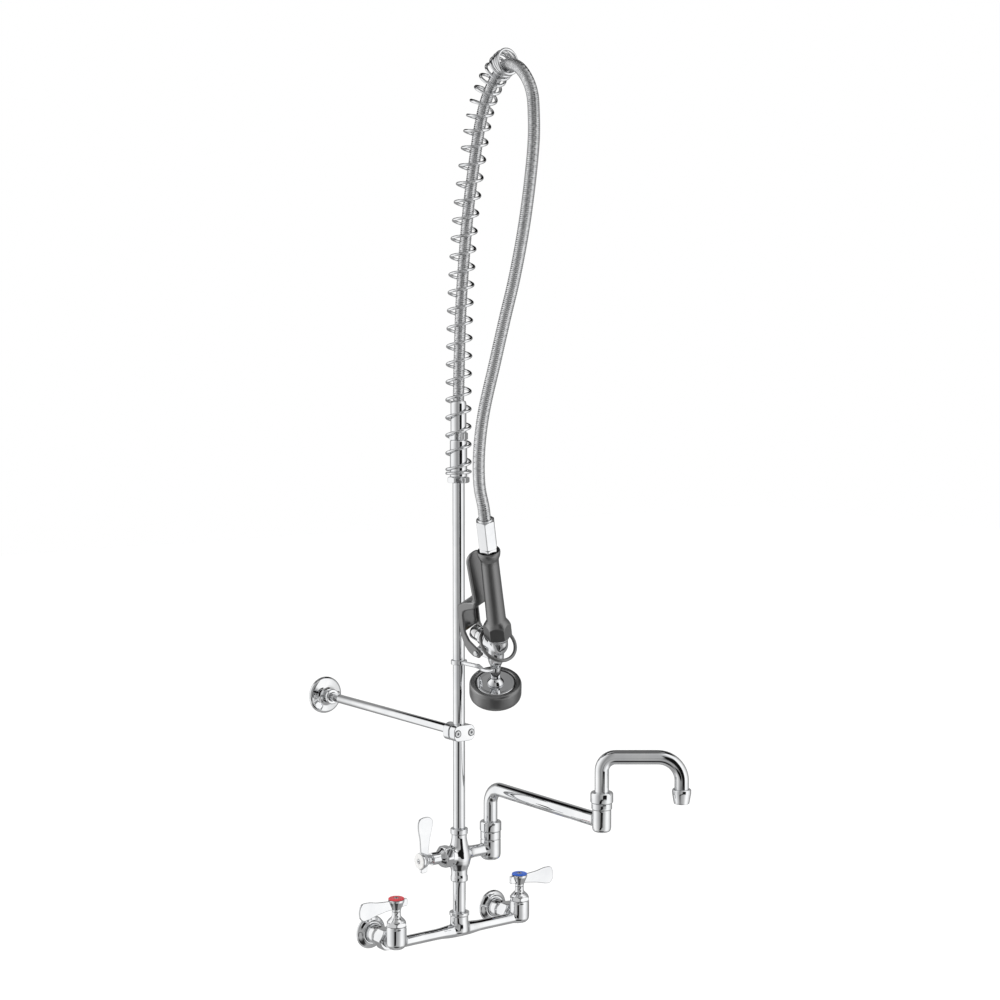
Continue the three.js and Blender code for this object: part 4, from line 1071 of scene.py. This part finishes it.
def studio_glow(heading, rise):
    """How bright the studio is in a direction: heading 0 is the camera's side, positive to its right."""
    away = np.abs(heading)
    wall = np.interp(
        heading,
        [-180, -165, -140, -128, -118, -80, -65, -42, -21, -4, 30, 54, 60, 74, 90, 98, 112, 128, 150, 180],
        [0.34, 0.3, 0.3, 0.7, 1.1, 1.1, 0.88, 0.57, 0.3, 0.4, 0.6, 1.16, 1.16, 1.16, 0.92, 0.86, 0.5,
        0.28, 0.26, 0.34])
    floor = np.interp(away, [0, 28, 50, 70, 180], [0.02, 0.03, 0.42, 0.37, 0.35])
    floor = floor + (0.5 - floor) * feathered(-rise, 74, 20)
    glow = wall + (floor - wall) * feathered(-rise, 44, 18)
    ceiling = feathered(rise, np.interp(away, [0, 80, 110, 180], [74, 60, 36, 29]), 7)
    top_panel = 0.85 * feathered(rise, 61, 5) * feathered(away, 100, 20)
    glow = glow * (1 - 0.985 * ceiling * (1 - top_panel))
    heights = [-34, -20, -16.5, -14.5, 5, 13, 40]
    left = np.interp(rise, heights, [-30, -22, -18, 10, 13, 16, 16])
    right = np.interp(rise, heights, [-10, 0, 6, 48, 50, 48, 48])
    strip = feathered(heading, left, 3) * (1 - feathered(heading, right, 3))
    strip = strip * feathered(rise, -34, 8) * (1 - feathered(rise, 30, 12))
    return glow * (1 - 0.985 * strip)


def dome():
    """The studio's softboxes and dark flags, as polished metal sees them."""
    eye = bpy.context.scene.camera.location
    front = np.degrees(np.arctan2(eye.y - RISER_Y, eye.x))
    headings = np.arange(-180, 181, 2.0)
    rises = np.arange(-90, 91, 2.0)
    heading, rise = np.meshgrid(headings, rises)
    turn, lift = np.radians(heading + front), np.radians(rise)
    points = np.stack([
        DOME_R * np.cos(lift) * np.cos(turn),
        RISER_Y + DOME_R * np.cos(lift) * np.sin(turn),
        DOME_Z + DOME_R * np.sin(lift),
    ], axis=-1).reshape(-1, 3)
    across = len(headings)
    faces = [(k * across + i, k * across + i + 1, (k + 1) * across + i + 1, (k + 1) * across + i)
             for k in range(len(rises) - 1) for i in range(across - 1)]
    mesh = bpy.data.meshes.new("studio_dome")
    mesh.from_pydata([tuple(p) for p in points], [], faces)
    glow = mesh.attributes.new("glow", "FLOAT", "POINT")
    glow.data.foreach_set("value", studio_glow(heading, rise).reshape(-1).astype(np.float32))
    m = Nodes("studio_dome")
    m.set(roughness=1.0)
    m.shader.inputs["Base Color"].default_value = (0, 0, 0, 1)
    m.shader.inputs["Specular IOR Level"].default_value = 0
    m.shader.inputs["Emission Color"].default_value = (1, 1, 1, 1)
    level = m.add("ShaderNodeAttribute", attribute_name="glow")
    m.link(level.outputs["Fac"], m.shader.inputs["Emission Strength"])
    mesh.materials.append(m.material)
    shell = bpy.data.objects.new("studio_dome", mesh)
    bpy.context.scene.collection.objects.link(shell)
    shell.visible_camera = False
    shell.visible_diffuse = False
    shell.visible_shadow = False
    shell.visible_transmission = False


def studio():
    scene = bpy.context.scene
    scene.view_settings.view_transform = "Standard"
    scene.view_settings.look = "None"
    world = bpy.data.worlds.new("studio")
    world.use_nodes = True
    background = world.node_tree.nodes["Background"]
    background.inputs["Color"].default_value = (1, 1, 1, 1)
    background.inputs["Strength"].default_value = WHITE_WORLD
    scene.world = world
    size = 14.0
    floor_mesh = bpy.data.meshes.new("floor")
    floor_mesh.from_pydata([(-size, -size, FLOOR_Z), (size, -size, FLOOR_Z), (size, size, FLOOR_Z),
                            (-size, size, FLOOR_Z)], [], [(0, 1, 2, 3)])
    floor = bpy.data.objects.new("floor", floor_mesh)
    scene.collection.objects.link(floor)
    m = Nodes("floor")
    m.set(roughness=0.9)
    m.colour(m.noise(3, detail=2), (0.92, 0.92, 0.92), (0.94, 0.94, 0.94))
    m.shader.inputs["Emission Color"].default_value = (1, 1, 1, 1)
    m.shader.inputs["Emission Strength"].default_value = 0.12
    floor_mesh.materials.append(m.material)
    floor.visible_glossy = False


def lamp(name, heading, distance, z, size, power):
    """An area light aimed at the faucet's middle."""
    eye = bpy.context.scene.camera.location
    angle = np.arctan2(eye.y - RISER_Y, eye.x) + radians(heading)
    data = bpy.data.lights.new(name, "AREA")
    data.energy = power
    data.size = size
    light = bpy.data.objects.new(name, data)
    light.location = (distance * cos(angle), RISER_Y + distance * sin(angle), z)
    aim = Vector((0, RISER_Y, 0.45)) - light.location
    light.rotation_euler = aim.to_track_quat("-Z", "Y").to_euler()
    bpy.context.scene.collection.objects.link(light)


# ---------------------------------------------------------------- everything
camera()
studio()
dome()
lamp("key_left", -75, 2.2, 1.5, 1.2, 18)
hose()
overhead_spring()
mixing_body()
inlet(-1, "hot")
inlet(1, "cold")
deck_valve(-VALVE_X, pi, "hot")
deck_valve(VALVE_X, 0.0, "cold")
addon_body()
addon_valve()
spout()
spout_end()
riser()
wall_bracket()
spray_hook()
spray_handle()
spray_body()
spray_bonnet()
squeeze_lever()
spray_head()
hold_ring()

for node, solid in frame["nodes"].items():
    if node not in replaced:
        solid.data.materials.clear()
        solid.data.materials.append(MATERIALS[SLOT_OF[node]])
